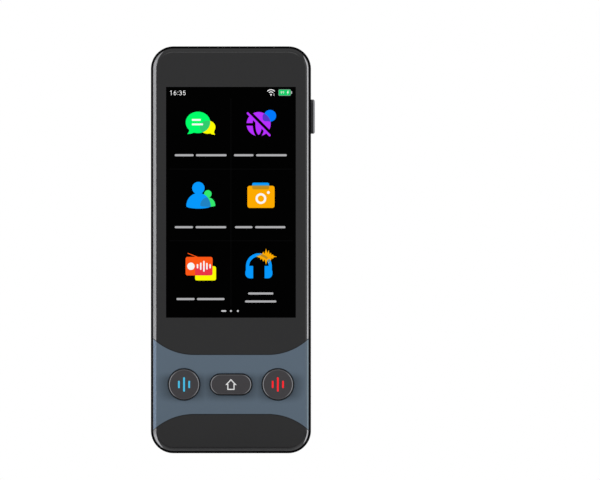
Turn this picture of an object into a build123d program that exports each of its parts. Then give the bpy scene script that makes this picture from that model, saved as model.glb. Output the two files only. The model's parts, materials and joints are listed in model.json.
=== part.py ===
from build123d import *
import os

# Handheld translator: a slim bar with a display above a key band. It stands on its bottom end: Z runs
# along the length, X across the width, and the front faces -Y. The origin is the mouth of the USB-C port,
# in the middle of the bottom end. All sizes are in millimetres.

# ---- Outer form ----------------------------------------------------------------------------------
BODY_WIDTH = 47.6
BODY_HEIGHT = 121.0
BODY_DEPTH = 12.0  # front face to flat back
CORNER_RADIUS = 6.7  # corners of the front outline
SIDE_CURVE_WIDTH = 6.0  # width of the curve between the flat back and each long side
SIDE_HEIGHT = 6.0  # straight part of the long sides, in front of that curve
END_BEVEL_DEPTH = 2.4  # sloping rear edge of the top and bottom ends, measured front to back
END_BEVEL_RISE = 1.0  # and measured along the length
END_STRIP = 1.5  # strip of frame seen beyond the rear cover at each end
FRAME_WALL = 1.4
FRAME_EDGE_ROUND = 0.2
PARTING_GAP = 0.1  # between the frame and the rear cover

# ---- Front panels --------------------------------------------------------------------------------
FRAME_REVEAL = 0.55  # frame edge seen round the panels
PANEL_THICKNESS = 1.4
PANEL_FIT = 0.05
PANEL_SEAM = 0.06
BEVEL_WIDTH = 1.15
BEVEL_DEPTH = 0.8
BEVEL_ROUND = 0.5
TAPE_THICKNESS = 0.15
TAPE_INSET = 0.6
DECK_THICKNESS = 0.9  # shelf of the frame that the panels are taped to

# ---- Key band and its three buttons --------------------------------------------------------------
BAND_CENTRE = 20.45  # above the bottom end, also the height of the buttons
BAND_HEIGHT = 17.85
BAND_FLAT = 22.0  # straight middle part of the band's edges
BAND_SWEEP = 5.5  # how far the edges curve away from the middle at the sides of the body
TALK_KEY_DIAMETER = 9.0
TALK_KEY_OFFSET = 13.95
HOME_KEY_LENGTH = 12.1
HOME_KEY_HEIGHT = 5.9
KEY_GAP = 0.3
KEY_PROUD = 0.35
KEY_EDGE_ROUND = 0.3
KEY_TRAVEL = 0.3
KEY_REST_GAP = 0.05  # left between a pressed key and its switch
FLANGE_OVERLAP = 0.7  # how far a key's retaining flange reaches under the panel
FLANGE_THICKNESS = 0.6
FLANGE_PLAY = 0.1
FOOT_DIAMETER = 3.2
FOOT_TIP_DIAMETER = 2.2
HOLE_CHAMFER = 0.15

# ---- Display -------------------------------------------------------------------------------------
DISPLAY_SIDE = 4.5  # from the body's sides to the picture
DISPLAY_TOP = 12.06  # from the top end to the picture
DISPLAY_BOTTOM = 40.3  # from the bottom end to the picture
LCD_SIDE_BORDER = 1.0
LCD_TOP_BORDER = 1.5
LCD_BOTTOM_BORDER = 3.2
LCD_LEDGE = 1.6  # lower edge of the glass that the ribbon is bonded to, below the backlight
LCD_THICKNESS = 1.3
BACKLIGHT_THICKNESS = 0.9
LCD_FIT = 0.2
PLATE_THICKNESS = 0.4
PLATE_EAR_LENGTH = 6.0
PLATE_EAR_COUNT = 3
PLATE_EAR_ABOVE_EDGE = 8.0  # from the glass's lower edge to the middle of the first ear
PLATE_EAR_BELOW_SIDE_KEY = 14.1  # from the middle of the last ear to that of the side button
RIB_FIT = 0.3
FLEX_WIDTH = 12.0
FLEX_THICKNESS = 0.15
FLEX_BEND = 0.5

# ---- Main board and what is soldered to it -------------------------------------------------------
BOARD_THICKNESS = 0.8
BOARD_STANDOFF = 0.5
BOARD_SIDE_GAP = 2.2  # from the frame's inner wall
BOARD_END_GAP = 1.9
BOARD_CORNER = 4.0
PAD_DIAMETER = 3.0
PAD_INSET = 3.0  # from the board's side to the middle of each pad it rests on
FRAME_PAD_HEIGHTS = (8.5, 33.0)
SWITCH_SIZE = 4.5
SWITCH_BODY = 1.0
SWITCH_PLUNGER = 0.5
SWITCH_PLUNGER_DIAMETER = 2.4
CONNECTOR_HEIGHT = 0.9
CONNECTOR_LENGTH = 2.2
CONNECTOR_BORDER = 0.4  # beyond the ribbon or lead that it takes, at each side
CAN_WIDTH = 12.5
CAN_LENGTH = 13.0
CAN_HEIGHT = 1.6
CAN_SHEET = 0.2
CAN_CAMERA_GAP = 1.4
CHIP_SIZE = 9.0
CHIP_HEIGHT = 0.9
MIC_OFFSET = 9.5
MIC_WIDTH = 3.0
MIC_LENGTH = 2.6
MIC_HEIGHT = 1.1
MIC_HOLE = 1.0
MIC_EDGE = 0.4  # from the board's edge
SEAL_WIDTH = 3.6
SEAL_HEIGHT = 1.6
SEAL_BORE = 0.8

# ---- USB-C receptacle ----------------------------------------------------------------------------
USB_WIDTH = 8.94
USB_HEIGHT = 3.16
USB_SHEET = 0.3
USB_LENGTH = 7.3
USB_RECESS = 0.3
USB_FIT = 0.15
USB_BASE = 1.4
TONGUE_WIDTH = 6.69
TONGUE_THICKNESS = 0.7
TONGUE_SETBACK = 1.1
WING_WIDTH = 1.6
WING_LENGTH = 2.0

# ---- Battery -------------------------------------------------------------------------------------
BATTERY_WIDTH = 34.0
BATTERY_ABOVE_SPEAKER = 5.0
BATTERY_BELOW_CAMERA = 20.4  # from the battery's top to the camera's axis, for its leads and the antenna
BATTERY_EDGE = 1.4
BATTERY_TAPE = 0.2
BATTERY_FOAM = 0.8
FOAM_INSET = 5.0
CELL_BOARD_LENGTH = 3.0
CELL_BOARD_HEIGHT = 1.2
TAIL_WIDTH = 5.0
TAIL_LENGTH = 3.0

# ---- Rear cover ----------------------------------------------------------------------------------
COVER_WALL = 1.3
RIB = 0.8
RIB_DEPTH = 2.0
LIP_SHEET = 0.45  # locating lip of the cover
LIP_DEPTH = 1.0
LIP_GAP = 0.1
LIP_BELOW_SIDE_KEY = 10.1  # from the right lip's top to the middle of the side button
LIP_OVERLAP = 0.3  # of the corner lips with the cover's wall and with the straight lips
CLIP_COUNT = 3
CLIP_BOTTOM = 26.5  # from the bottom end to the middle of the first clip
CLIP_BELOW_LIP_TOP = 13.5  # from the right lip's top to the middle of the last clip
CLIP_LENGTH = 5.0
CLIP_SHEET = 0.8
CLIP_BARB = 0.45
CLIP_REACH = 2.6  # how far a clip reaches in front of the parting line
ANTENNA_WIDTH = 26.0
ANTENNA_LENGTH = 5.5
ANTENNA_THICKNESS = 0.15
ANTENNA_BELOW_CAMERA = 13.9  # from the antenna's lower edge to the camera's axis

# ---- Speaker -------------------------------------------------------------------------------------
GRILLE_CENTRE = 21.3
GRILLE_PITCH = 2.6
GRILLE_HOLE = 1.8
GRILLE_SIDE_ROWS = 3
GRILLE_SIDE_COUNT = 5  # holes each side of the centre hole in the middle row
GRILLE_MARGIN = 0.3
GASKET_BORDER = 1.1
GASKET_THICKNESS = 0.4
MESH_THICKNESS = 0.15
BASKET_DEPTH = 1.6
BASKET_WALL = 0.8
MAGNET_INSET = 3.5
MAGNET_DEPTH = 1.7
SURROUND_WIDTH = 1.8
SURROUND_THICKNESS = 0.35
DIAPHRAGM_THICKNESS = 0.3
FENCE_FIT = 0.15

# ---- Camera --------------------------------------------------------------------------------------
CAMERA_FROM_TOP = 13.6
BUMP_WIDTH = 16.7
BUMP_LENGTH = 14.5
BUMP_CORNER = 2.7
BUMP_HEIGHT = 1.1
BUMP_DRAFT = 0.35
BUMP_CHAMFER = 0.3
WINDOW_SIZE = 12.3
WINDOW_CORNER = 1.2
WINDOW_SHIFT = 1.07  # the window sits off the lens's centre, towards -X
WINDOW_THICKNESS = 0.5
WINDOW_RECESS = 0.5
WINDOW_FIT = 0.05
BEZEL_FLOOR = 0.85
SPIGOT_INSET = 0.9
SPIGOT_FIT = 0.1
LENS_DIAMETER = 4.5
LENS_EDGE = 0.35
LENS_CROWN = 0.15
APERTURE = 3.4
BARREL_DIAMETER = 6.4
BARREL_LENGTH = 2.2
ELEMENT_DIAMETER = 3.6
ELEMENT_RISE = 0.35
CAMERA_SIZE = 8.5
CAMERA_FOAM = 0.4
CAMERA_FOAM_BORE = 5.0

# ---- Side button ---------------------------------------------------------------------------------
SIDE_KEY_FROM_TOP = 20.9
SIDE_KEY_LENGTH = 10.2
SIDE_KEY_HEIGHT = 2.4
SIDE_KEY_PROUD = 1.15
SIDE_KEY_ROUND = 0.5
SIDE_KEY_DEPTH = 3.2  # its middle line, behind the frame's front edge
SIDE_KEY_GAP = 0.25
SIDE_FLANGE_EAR = 0.9
SIDE_FLANGE_THICKNESS = 0.5
SIDE_FOOT_DIAMETER = 2.0
SIDE_FOOT_LENGTH = 0.2
DOME_DIAMETER = 2.4
DOME_CROWN = 1.4
DOME_HEIGHT = 0.3
SIDE_PLATE_THICKNESS = 0.5
SIDE_PLATE_LEG = 0.8
SIDE_PLATE_CLEARANCE = 0.9

# ---- Levels from front to back -------------------------------------------------------------------
FACE_Y = -BODY_DEPTH / 2
BACK_Y = BODY_DEPTH / 2
RIM_Y = FACE_Y + BEVEL_DEPTH
PANEL_REAR_Y = FACE_Y + PANEL_THICKNESS
DECK_FRONT_Y = PANEL_REAR_Y + TAPE_THICKNESS
DECK_REAR_Y = DECK_FRONT_Y + DECK_THICKNESS
PARTING_Y = RIM_Y + SIDE_HEIGHT
LCD_REAR_Y = PANEL_REAR_Y + LCD_THICKNESS
PLATE_FRONT_Y = LCD_REAR_Y + BACKLIGHT_THICKNESS
PLATE_REAR_Y = PLATE_FRONT_Y + PLATE_THICKNESS
BOARD_FRONT_Y = PLATE_REAR_Y + BOARD_STANDOFF
BOARD_REAR_Y = BOARD_FRONT_Y + BOARD_THICKNESS
COVER_INNER_Y = BACK_Y - COVER_WALL
SWITCH_TOP_Y = BOARD_FRONT_Y - SWITCH_BODY - SWITCH_PLUNGER
FLANGE_FRONT_Y = PANEL_REAR_Y + FLANGE_PLAY
FLANGE_REAR_Y = FLANGE_FRONT_Y + FLANGE_THICKNESS
FOOT_TIP_Y = SWITCH_TOP_Y - KEY_TRAVEL - KEY_REST_GAP
GASKET_REAR_Y = COVER_INNER_Y - MESH_THICKNESS
BASKET_REAR_Y = GASKET_REAR_Y - GASKET_THICKNESS
BASKET_FRONT_Y = BASKET_REAR_Y - BASKET_DEPTH
FLOOR_FRONT_Y = BACK_Y + BUMP_HEIGHT - WINDOW_RECESS - WINDOW_THICKNESS - BEZEL_FLOOR
FLOOR_REAR_Y = FLOOR_FRONT_Y + BEZEL_FLOOR
SIDE_KEY_Y = RIM_Y + SIDE_KEY_DEPTH

# ---- Places across the width and along the length ------------------------------------------------
INNER_HALF = BODY_WIDTH / 2 - FRAME_WALL
PICTURE_WIDTH = BODY_WIDTH - 2 * DISPLAY_SIDE
PICTURE_TOP = BODY_HEIGHT - DISPLAY_TOP
LCD_WIDTH = PICTURE_WIDTH + 2 * LCD_SIDE_BORDER
LCD_BOTTOM = DISPLAY_BOTTOM - LCD_BOTTOM_BORDER
LCD_TOP = PICTURE_TOP + LCD_TOP_BORDER
BOARD_HALF = INNER_HALF - BOARD_SIDE_GAP
BOARD_BOTTOM = FRAME_WALL + BOARD_END_GAP
BOARD_TOP = BODY_HEIGHT - FRAME_WALL - BOARD_END_GAP
CAMERA_Z = BODY_HEIGHT - CAMERA_FROM_TOP
SIDE_KEY_Z = BODY_HEIGHT - SIDE_KEY_FROM_TOP
MIC_Y = BOARD_REAR_Y + SEAL_HEIGHT / 2
PARTING_TURN = END_STRIP + BACK_Y - PARTING_Y  # from each end to where the parting line runs straight
LIP_BOTTOM = max(CORNER_RADIUS, PARTING_TURN) + LIP_GAP
LIP_TOP = BODY_HEIGHT - LIP_BOTTOM
RIGHT_LIP_TOP = SIDE_KEY_Z - LIP_BELOW_SIDE_KEY
HOLE_DIAMETER = TALK_KEY_DIAMETER + 2 * KEY_GAP
SPEAKER_BORDER = GRILLE_HOLE / 2 + GRILLE_MARGIN + GASKET_BORDER
SPEAKER_WIDTH = 2 * (GRILLE_SIDE_COUNT * GRILLE_PITCH + SPEAKER_BORDER)
SPEAKER_LENGTH = 2 * (GRILLE_SIDE_ROWS * GRILLE_PITCH + SPEAKER_BORDER)
BATTERY_BOTTOM = GRILLE_CENTRE + SPEAKER_LENGTH / 2 + BATTERY_ABOVE_SPEAKER
BATTERY_TOP = CAMERA_Z - BATTERY_BELOW_CAMERA
CONNECTOR_Z = LCD_BOTTOM - CONNECTOR_LENGTH
CONNECTOR_FRONT_Y = BOARD_FRONT_Y - CONNECTOR_HEIGHT
SIDE_KEY_REAR_X = INNER_HALF - FLANGE_PLAY - SIDE_FLANGE_THICKNESS
DOME_TOP_X = SIDE_KEY_REAR_X - SIDE_FOOT_LENGTH - KEY_TRAVEL - KEY_REST_GAP
SIDE_PLATE_X = DOME_TOP_X - DOME_HEIGHT
CELL_FRONT_Y = BOARD_REAR_Y + BATTERY_TAPE
CELL_REAR_Y = COVER_INNER_Y - BATTERY_FOAM
MAGNET_REAR_Y = BASKET_FRONT_Y + BASKET_WALL / 2


def spaced(first, last, count):
    """Evenly spaced places from the first to the last."""
    return [first + (last - first) * index / (count - 1) for index in range(count)]


CLIP_HEIGHTS = spaced(CLIP_BOTTOM, RIGHT_LIP_TOP - CLIP_BELOW_LIP_TOP, CLIP_COUNT)
FIRST_EAR = LCD_BOTTOM + PLATE_EAR_ABOVE_EDGE
LAST_EAR = SIDE_KEY_Z - PLATE_EAR_BELOW_SIDE_KEY
EAR_HEIGHTS = spaced(FIRST_EAR, LAST_EAR, PLATE_EAR_COUNT)


# ---- Ways of drawing -----------------------------------------------------------------------------
def slab(outline, front, rear):
    """A shape drawn as seen from the front, as a solid between two depths."""
    return extrude(Plane.XZ.offset(-rear) * outline, amount=rear - front)


def bar(profile, left, right):
    """A profile drawn in the Y-Z plane, as a solid between two places across the width."""
    return extrude(Plane.YZ.offset(left) * profile, amount=right - left)


def column(section, bottom, top):
    """A section drawn in the X-Y plane, as a solid between two heights."""
    return extrude(Plane.XY.offset(bottom) * section, amount=top - bottom)


def block(x_range, y_range, z_range):
    """A plain block between its limits along X, Y and Z."""
    width, depth, length = (high - low for low, high in (x_range, y_range, z_range))
    low_corner = (x_range[0], y_range[0], z_range[0])
    return Pos(*low_corner) * Box(width, depth, length, align=(Align.MIN, Align.MIN, Align.MIN))


def front_rectangle(width, bottom, top, corner=0.0):
    """A rectangle seen from the front, centred across the width, between two heights."""
    middle = Pos(0, (bottom + top) / 2)
    if corner:
        return middle * RectangleRounded(width, top - bottom, corner)
    return middle * Rectangle(width, top - bottom)


def front_outline(inset=0.0):
    """The body's rounded outline seen from the front, moved inwards."""
    return front_rectangle(BODY_WIDTH - 2 * inset, inset, BODY_HEIGHT - inset, CORNER_RADIUS - inset)


def loft_between(near, near_y, far, far_y):
    """A ruled solid between two front-view outlines at two depths."""
    sections = [(Plane.XZ.offset(-y) * outline).face() for outline, y in ((near, near_y), (far, far_y))]
    return loft(sections, ruled=True)


# ---- The outer form, shared by the frame and the rear cover --------------------------------------
def across_section(inset=0.0):
    """Section across the width: straight sides, then a quarter ellipse up to the flat back."""
    half = BODY_WIDTH / 2 - inset
    rear = BACK_Y - inset
    curve_x = SIDE_CURVE_WIDTH - inset
    curve_y = BACK_Y - PARTING_Y - inset
    right = EllipticalCenterArc((half - curve_x, PARTING_Y), curve_x, curve_y, 0, arc_size=90)
    left = EllipticalCenterArc((curve_x - half, PARTING_Y), curve_x, curve_y, 90, arc_size=90)
    flat = Line((half - curve_x, rear), (curve_x - half, rear))
    front = Polyline((-half, PARTING_Y), (-half, RIM_Y), (half, RIM_Y), (half, PARTING_Y))
    return make_face([right, flat, left, front])


def lengthwise_section():
    """Section along the length: flat ends whose rear edges curve over towards the back."""
    land = BACK_Y - END_BEVEL_DEPTH
    low = TangentArc((land, 0), (BACK_Y, END_BEVEL_RISE), tangent=(1, 0))
    high = TangentArc((land, BODY_HEIGHT), (BACK_Y, BODY_HEIGHT - END_BEVEL_RISE), tangent=(1, 0))
    back = Line(low @ 1, high @ 1)
    front = Polyline(high @ 0, (RIM_Y, BODY_HEIGHT), (RIM_Y, 0), low @ 0)
    return make_face([low, back, high, front])


def outer_form():
    """The body behind the front panels' bevel, as one solid."""
    half = BODY_WIDTH / 2
    form = slab(front_outline(), RIM_Y, BACK_Y)
    form &= column(across_section(), 0, BODY_HEIGHT)
    form &= bar(lengthwise_section(), -half, half)
    front_edges = form.faces().sort_by(Axis.Y)[0].edges()
    return fillet(front_edges, FRAME_EDGE_ROUND)


def cover_zone(gap):
    """The space of the rear cover: behind the parting line, which rises to the back at both ends."""
    bottom = END_STRIP + gap
    top = BODY_HEIGHT - END_STRIP - gap
    front = PARTING_Y + gap
    radius = BACK_Y - PARTING_Y
    depth = 3 * radius  # deep enough for the rounded corners to end behind the back
    profile = Pos(front + depth / 2, (bottom + top) / 2) * RectangleRounded(depth, top - bottom, radius)
    return bar(profile, -BODY_WIDTH / 2, BODY_WIDTH / 2)


def both_sides(solid):
    """A solid and its mirror image across the width."""
    return [solid, mirror(solid, Plane.YZ)]


# ---- Front panels --------------------------------------------------------------------------------
def band_outline(grow=0.0):
    """The key band seen from the front: straight edges that sweep apart towards the sides."""
    side = BODY_WIDTH / 2
    flat = BAND_FLAT / 2
    edge = BAND_HEIGHT / 2 + grow
    lines = []
    for way in (1, -1):
        level = BAND_CENTRE + way * edge
        lines.append(TangentArc((flat, level), (side, level + way * BAND_SWEEP), tangent=(1, 0)))
        lines.append(TangentArc((-flat, level), (-side, level + way * BAND_SWEEP), tangent=(-1, 0)))
        lines.append(Line((-flat, level), (flat, level)))
    lines.append(Line(lines[0] @ 1, lines[3] @ 1))
    lines.append(Line(lines[1] @ 1, lines[4] @ 1))
    return make_face(lines)


def above_band(grow=0.0):
    """Everything of the front above the key band."""
    return front_rectangle(BODY_WIDTH, BAND_CENTRE, BODY_HEIGHT) - band_outline(grow)


def below_band(grow=0.0):
    """Everything of the front below the key band."""
    return front_rectangle(BODY_WIDTH, 0, BAND_CENTRE) - band_outline(grow)


def panel_form():
    """The three front panels as one plate with a bevel round its front."""
    inset = FRAME_REVEAL + PANEL_FIT
    plate = slab(front_outline(inset), RIM_Y, PANEL_REAR_Y)
    plate += loft_between(front_outline(inset + BEVEL_WIDTH), FACE_Y, front_outline(inset), RIM_Y)
    face_edges = plate.faces().sort_by(Axis.Y)[0].edges()
    return fillet(face_edges, BEVEL_ROUND)


def key_outlines(grow=0.0):
    """Outlines of the left talk, home and right talk buttons, by name."""
    return {
        "left_talk": Pos(-TALK_KEY_OFFSET, BAND_CENTRE) * Circle(TALK_KEY_DIAMETER / 2 + grow),
        "home": Pos(0, BAND_CENTRE) * SlotOverall(HOME_KEY_LENGTH + 2 * grow, HOME_KEY_HEIGHT + 2 * grow),
        "right_talk": Pos(TALK_KEY_OFFSET, BAND_CENTRE) * Circle(TALK_KEY_DIAMETER / 2 + grow),
    }


KEY_PLACES = {"left_talk": -TALK_KEY_OFFSET, "home": 0.0, "right_talk": TALK_KEY_OFFSET}


def display_window():
    """Upper front panel, which covers the display."""
    return panel_form() & slab(above_band(PANEL_SEAM), FACE_Y, PANEL_REAR_Y)


def key_band():
    """Middle front panel with its three button holes, each with a softened edge."""
    panel = panel_form() & slab(band_outline(), FACE_Y, PANEL_REAR_Y)
    for hole in key_outlines(KEY_GAP).values():
        panel -= slab(hole, FACE_Y, PANEL_REAR_Y)
    rims = [e for e in panel.faces().sort_by(Axis.Y)[0].inner_wires().edges()]
    return chamfer(rims, HOLE_CHAMFER)


def chin_panel():
    """Lower front panel."""
    return panel_form() & slab(below_band(PANEL_SEAM), FACE_Y, PANEL_REAR_Y)


def lcd_outline(grow=0.0):
    """Outline of the display module, larger than its picture by its borders."""
    return front_rectangle(LCD_WIDTH + 2 * grow, LCD_BOTTOM - grow, LCD_TOP + grow)


def flange_holes():
    """Clearance for the retaining flanges of the three front buttons."""
    return Sketch() + list(key_outlines(KEY_GAP + FLANGE_OVERLAP + KEY_GAP).values())


def panel_tape(zone):
    """Double-sided tape between one front panel and the frame's shelf."""
    sheet = slab(front_outline(FRAME_REVEAL + TAPE_INSET), PANEL_REAR_Y, DECK_FRONT_Y)
    sheet &= slab(zone, PANEL_REAR_Y, DECK_FRONT_Y)
    return sheet - slab(lcd_outline(LCD_FIT), PANEL_REAR_Y, DECK_FRONT_Y) - slab(
        flange_holes(), PANEL_REAR_Y, DECK_FRONT_Y)


# ---- Frame ---------------------------------------------------------------------------------------
def board_pads(heights, front):
    """Round pads in pairs, from a given depth up to the board's front."""
    across = BOARD_HALF - PAD_INSET
    pads = [Pos(side * across, height) * Circle(PAD_DIAMETER / 2) for side in (-1, 1) for height in heights]
    return slab(Sketch() + pads, front, BOARD_FRONT_Y)


def plate_ribs():
    """Blocks inside the long sides that carry the display plate's ears."""
    inner = LCD_WIDTH / 2 + RIB_FIT
    ribs = []
    for height in EAR_HEIGHTS:
        span = (height - PLATE_EAR_LENGTH / 2, height + PLATE_EAR_LENGTH / 2)
        ribs += both_sides(block((inner, INNER_HALF + RIB), (DECK_REAR_Y, PLATE_FRONT_Y), span))
    return ribs


def clip_pockets():
    """Catches in the frame's wall for the rear cover's clips."""
    front = PARTING_Y - CLIP_REACH - LIP_GAP
    rear = PARTING_Y - CLIP_REACH + CLIP_SHEET + LIP_GAP
    pockets = []
    for height in CLIP_HEIGHTS:
        span = (height - CLIP_LENGTH / 2 - LIP_GAP, height + CLIP_LENGTH / 2 + LIP_GAP)
        catch = block((INNER_HALF - LIP_GAP, INNER_HALF + CLIP_BARB), (front, rear), span)
        pockets += both_sides(catch)
    return pockets


def lip_pair(x_range, y_range, grow=0.0):
    """Straight runs along both long sides. The right one, at +X, ends below the side button."""
    left_x = (-x_range[1], -x_range[0])
    right = block(x_range, y_range, (LIP_BOTTOM - grow, RIGHT_LIP_TOP + grow))
    left = block(left_x, y_range, (LIP_BOTTOM - grow, LIP_TOP + grow))
    return [right, left]


def tongue_groove():
    """Step inside the frame's rear edge for the cover's locating lips."""
    outer = BODY_WIDTH / 2 - COVER_WALL + LIP_SHEET + LIP_GAP
    floor = PARTING_Y - LIP_DEPTH - LIP_GAP
    return lip_pair((INNER_HALF - LIP_GAP, outer), (floor, PARTING_Y), LIP_GAP)


def corner_lip():
    """Lips inside the frame's four rounded corners, which follow the parting line round to the back."""
    outer_inset = FRAME_WALL + LIP_GAP
    inner_inset = outer_inset + LIP_SHEET
    tip = slab(front_outline(outer_inset) - front_outline(inner_inset), PARTING_Y - LIP_DEPTH, BACK_Y)
    tip &= cover_zone(-LIP_DEPTH)
    root = slab(front_outline(COVER_WALL - LIP_OVERLAP) - front_outline(inner_inset), PARTING_Y, BACK_Y)
    root &= cover_zone(PARTING_GAP)
    ring = (tip + root) & column(across_section(COVER_WALL - LIP_OVERLAP), 0, BODY_HEIGHT)
    corners = []
    for z_range in ((0, LIP_BOTTOM + LIP_OVERLAP), (LIP_TOP - LIP_OVERLAP, BODY_HEIGHT)):
        corner = block((BODY_WIDTH / 2 - CORNER_RADIUS, BODY_WIDTH / 2), (RIM_Y, BACK_Y), z_range)
        corners += [ring & piece for piece in both_sides(corner)]
    return corners


def side_slot(grow):
    """Outline of the side button seen from the side, at its place."""
    outline = SlotOverall(SIDE_KEY_LENGTH + 2 * grow, SIDE_KEY_HEIGHT + 2 * grow, rotation=90)
    return Pos(SIDE_KEY_Y, SIDE_KEY_Z) * outline


def usb_section(grow=0.0):
    """Section of the USB-C receptacle, larger all round by grow."""
    return SlotOverall(USB_WIDTH + 2 * grow, USB_HEIGHT + 2 * grow)


def side_frame():
    """Ring round the device, with a shelf for the front panels and an opening for all that passes it."""
    frame = outer_form() - cover_zone(0)
    frame -= slab(front_outline(FRAME_REVEAL), RIM_Y, DECK_FRONT_Y)
    frame -= slab(front_outline(FRAME_WALL), DECK_REAR_Y, BACK_Y)
    frame -= slab(lcd_outline(LCD_FIT), DECK_FRONT_Y, DECK_REAR_Y)
    frame -= slab(flange_holes(), DECK_FRONT_Y, DECK_REAR_Y)
    frame += plate_ribs() + [board_pads(FRAME_PAD_HEIGHTS, DECK_REAR_Y)]
    frame -= clip_pockets() + tongue_groove()
    frame -= bar(side_slot(SIDE_KEY_GAP), INNER_HALF, BODY_WIDTH / 2)
    frame -= column(usb_section(USB_FIT), 0, FRAME_WALL)
    hole = Pos(MIC_OFFSET, MIC_Y) * Circle(MIC_HOLE / 2)
    frame -= column(hole, 0, FRAME_WALL)
    frame -= column(hole, BODY_HEIGHT - FRAME_WALL, BODY_HEIGHT)
    return frame


# ---- Rear cover ----------------------------------------------------------------------------------
def grille_places():
    """Centres of the grille's holes: a square grid cut to a hexagon of rows."""
    for row in range(-GRILLE_SIDE_ROWS, GRILLE_SIDE_ROWS + 1):
        side = GRILLE_SIDE_COUNT - abs(row)
        for place in range(-side, side + 1):
            yield place * GRILLE_PITCH, GRILLE_CENTRE + row * GRILLE_PITCH


def speaker_outline(grow=0.0):
    """Outline of the speaker behind the grille."""
    half = SPEAKER_LENGTH / 2 + grow
    return front_rectangle(SPEAKER_WIDTH + 2 * grow, GRILLE_CENTRE - half, GRILLE_CENTRE + half)


def bump_outline(inset=0.0):
    """Outline of the camera bezel seen from behind."""
    half = BUMP_LENGTH / 2 - inset
    return front_rectangle(BUMP_WIDTH - 2 * inset, CAMERA_Z - half, CAMERA_Z + half, BUMP_CORNER - inset)


def clip_profile():
    """Section of a snap clip: a flexible arm with a barb that points at the frame's wall."""
    outer = INNER_HALF - LIP_GAP
    inner = outer - CLIP_SHEET
    tip = PARTING_Y - CLIP_REACH
    root = PARTING_Y + (BACK_Y - PARTING_Y) / 2
    ledge = tip + CLIP_SHEET
    barb = outer + CLIP_BARB - LIP_GAP
    points = [(inner, root), (outer, root), (outer, ledge), (barb, ledge), (outer, tip), (inner, tip)]
    return make_face(Polyline(*points, close=True))


def rear_cover():
    """Moulded tray: curved long sides, speaker grille, camera opening, locating lip, clips and ribs."""
    inner_bottom = END_STRIP + COVER_WALL
    inner_top = BODY_HEIGHT - END_STRIP - COVER_WALL
    shell = outer_form() & cover_zone(PARTING_GAP)
    hollow = column(across_section(COVER_WALL), inner_bottom, inner_top) & slab(
        front_outline(COVER_WALL), RIM_Y, COVER_INNER_Y)
    shell -= hollow

    lip_inner = BODY_WIDTH / 2 - COVER_WALL
    lip_depths = (PARTING_Y - LIP_DEPTH, PARTING_Y + COVER_WALL)
    shell += lip_pair((lip_inner, lip_inner + LIP_SHEET), lip_depths)
    shell += corner_lip()
    for height in CLIP_HEIGHTS:
        shell += both_sides(column(clip_profile(), height - CLIP_LENGTH / 2, height + CLIP_LENGTH / 2))

    fence = speaker_outline(FENCE_FIT + RIB) - speaker_outline(FENCE_FIT)
    collar = bump_outline(SPIGOT_INSET - SPIGOT_FIT - RIB)
    stops = [front_rectangle(BATTERY_WIDTH, BATTERY_BOTTOM - FENCE_FIT - RIB, BATTERY_BOTTOM - FENCE_FIT)]
    for outline in [fence, collar] + stops:
        shell += slab(outline, COVER_INNER_Y - RIB_DEPTH, COVER_INNER_Y + PARTING_GAP)
    shell -= slab(bump_outline(SPIGOT_INSET - SPIGOT_FIT), PARTING_Y, BACK_Y)

    holes = Sketch() + [Pos(x, z) * Circle(GRILLE_HOLE / 2) for x, z in grille_places()]
    return shell - slab(holes, COVER_INNER_Y, BACK_Y)


# ---- Buttons -------------------------------------------------------------------------------------
def front_key(name):
    """A button cap with the flange that keeps it behind its panel."""
    head = slab(key_outlines()[name], FACE_Y - KEY_PROUD, FLANGE_REAR_Y)
    head = fillet(head.faces().sort_by(Axis.Y)[0].edges(), KEY_EDGE_ROUND)
    return head + slab(key_outlines(KEY_GAP + FLANGE_OVERLAP)[name], FLANGE_FRONT_Y, FLANGE_REAR_Y)


def front_foot(place):
    """Rubber foot behind a button, which presses its switch."""
    base = Pos(place, BAND_CENTRE) * Circle(FOOT_DIAMETER / 2)
    tip = Pos(place, BAND_CENTRE) * Circle(FOOT_TIP_DIAMETER / 2)
    return loft_between(base, FLANGE_REAR_Y, tip, FOOT_TIP_Y)


def front_switch(place):
    """Push switch on the board, with its round plunger."""
    centre = Pos(place, BAND_CENTRE)
    shoulder = SWITCH_TOP_Y + SWITCH_PLUNGER
    body = slab(centre * Rectangle(SWITCH_SIZE, SWITCH_SIZE), shoulder, BOARD_FRONT_Y)
    return body + slab(centre * Circle(SWITCH_PLUNGER_DIAMETER / 2), SWITCH_TOP_Y, shoulder)


def side_key():
    """Side button: a rounded bar that stands out of the frame, held by two ears behind its slot."""
    head = bar(side_slot(0), SIDE_KEY_REAR_X, BODY_WIDTH / 2 + SIDE_KEY_PROUD)
    head = fillet(head.faces().sort_by(Axis.X)[-1].edges(), SIDE_KEY_ROUND)
    length = SIDE_KEY_LENGTH + 2 * SIDE_FLANGE_EAR
    ears = Pos(SIDE_KEY_Y, SIDE_KEY_Z) * Rectangle(SIDE_KEY_HEIGHT, length)
    return head + bar(ears, SIDE_KEY_REAR_X, INNER_HALF - FLANGE_PLAY)


def side_foot():
    """Small rubber foot behind the side button."""
    foot = Pos(SIDE_KEY_Y, SIDE_KEY_Z) * Circle(SIDE_FOOT_DIAMETER / 2)
    return bar(foot, SIDE_KEY_REAR_X - SIDE_FOOT_LENGTH, SIDE_KEY_REAR_X)


def side_dome():
    """Domed metal switch that the side button presses: a stamped disc with sloping sides."""
    base = Plane.YZ.offset(SIDE_PLATE_X) * Pos(SIDE_KEY_Y, SIDE_KEY_Z) * Circle(DOME_DIAMETER / 2)
    crown = Plane.YZ.offset(DOME_TOP_X) * Pos(SIDE_KEY_Y, SIDE_KEY_Z) * Circle(DOME_CROWN / 2)
    return loft([base.face(), crown.face()], ruled=True)


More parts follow.
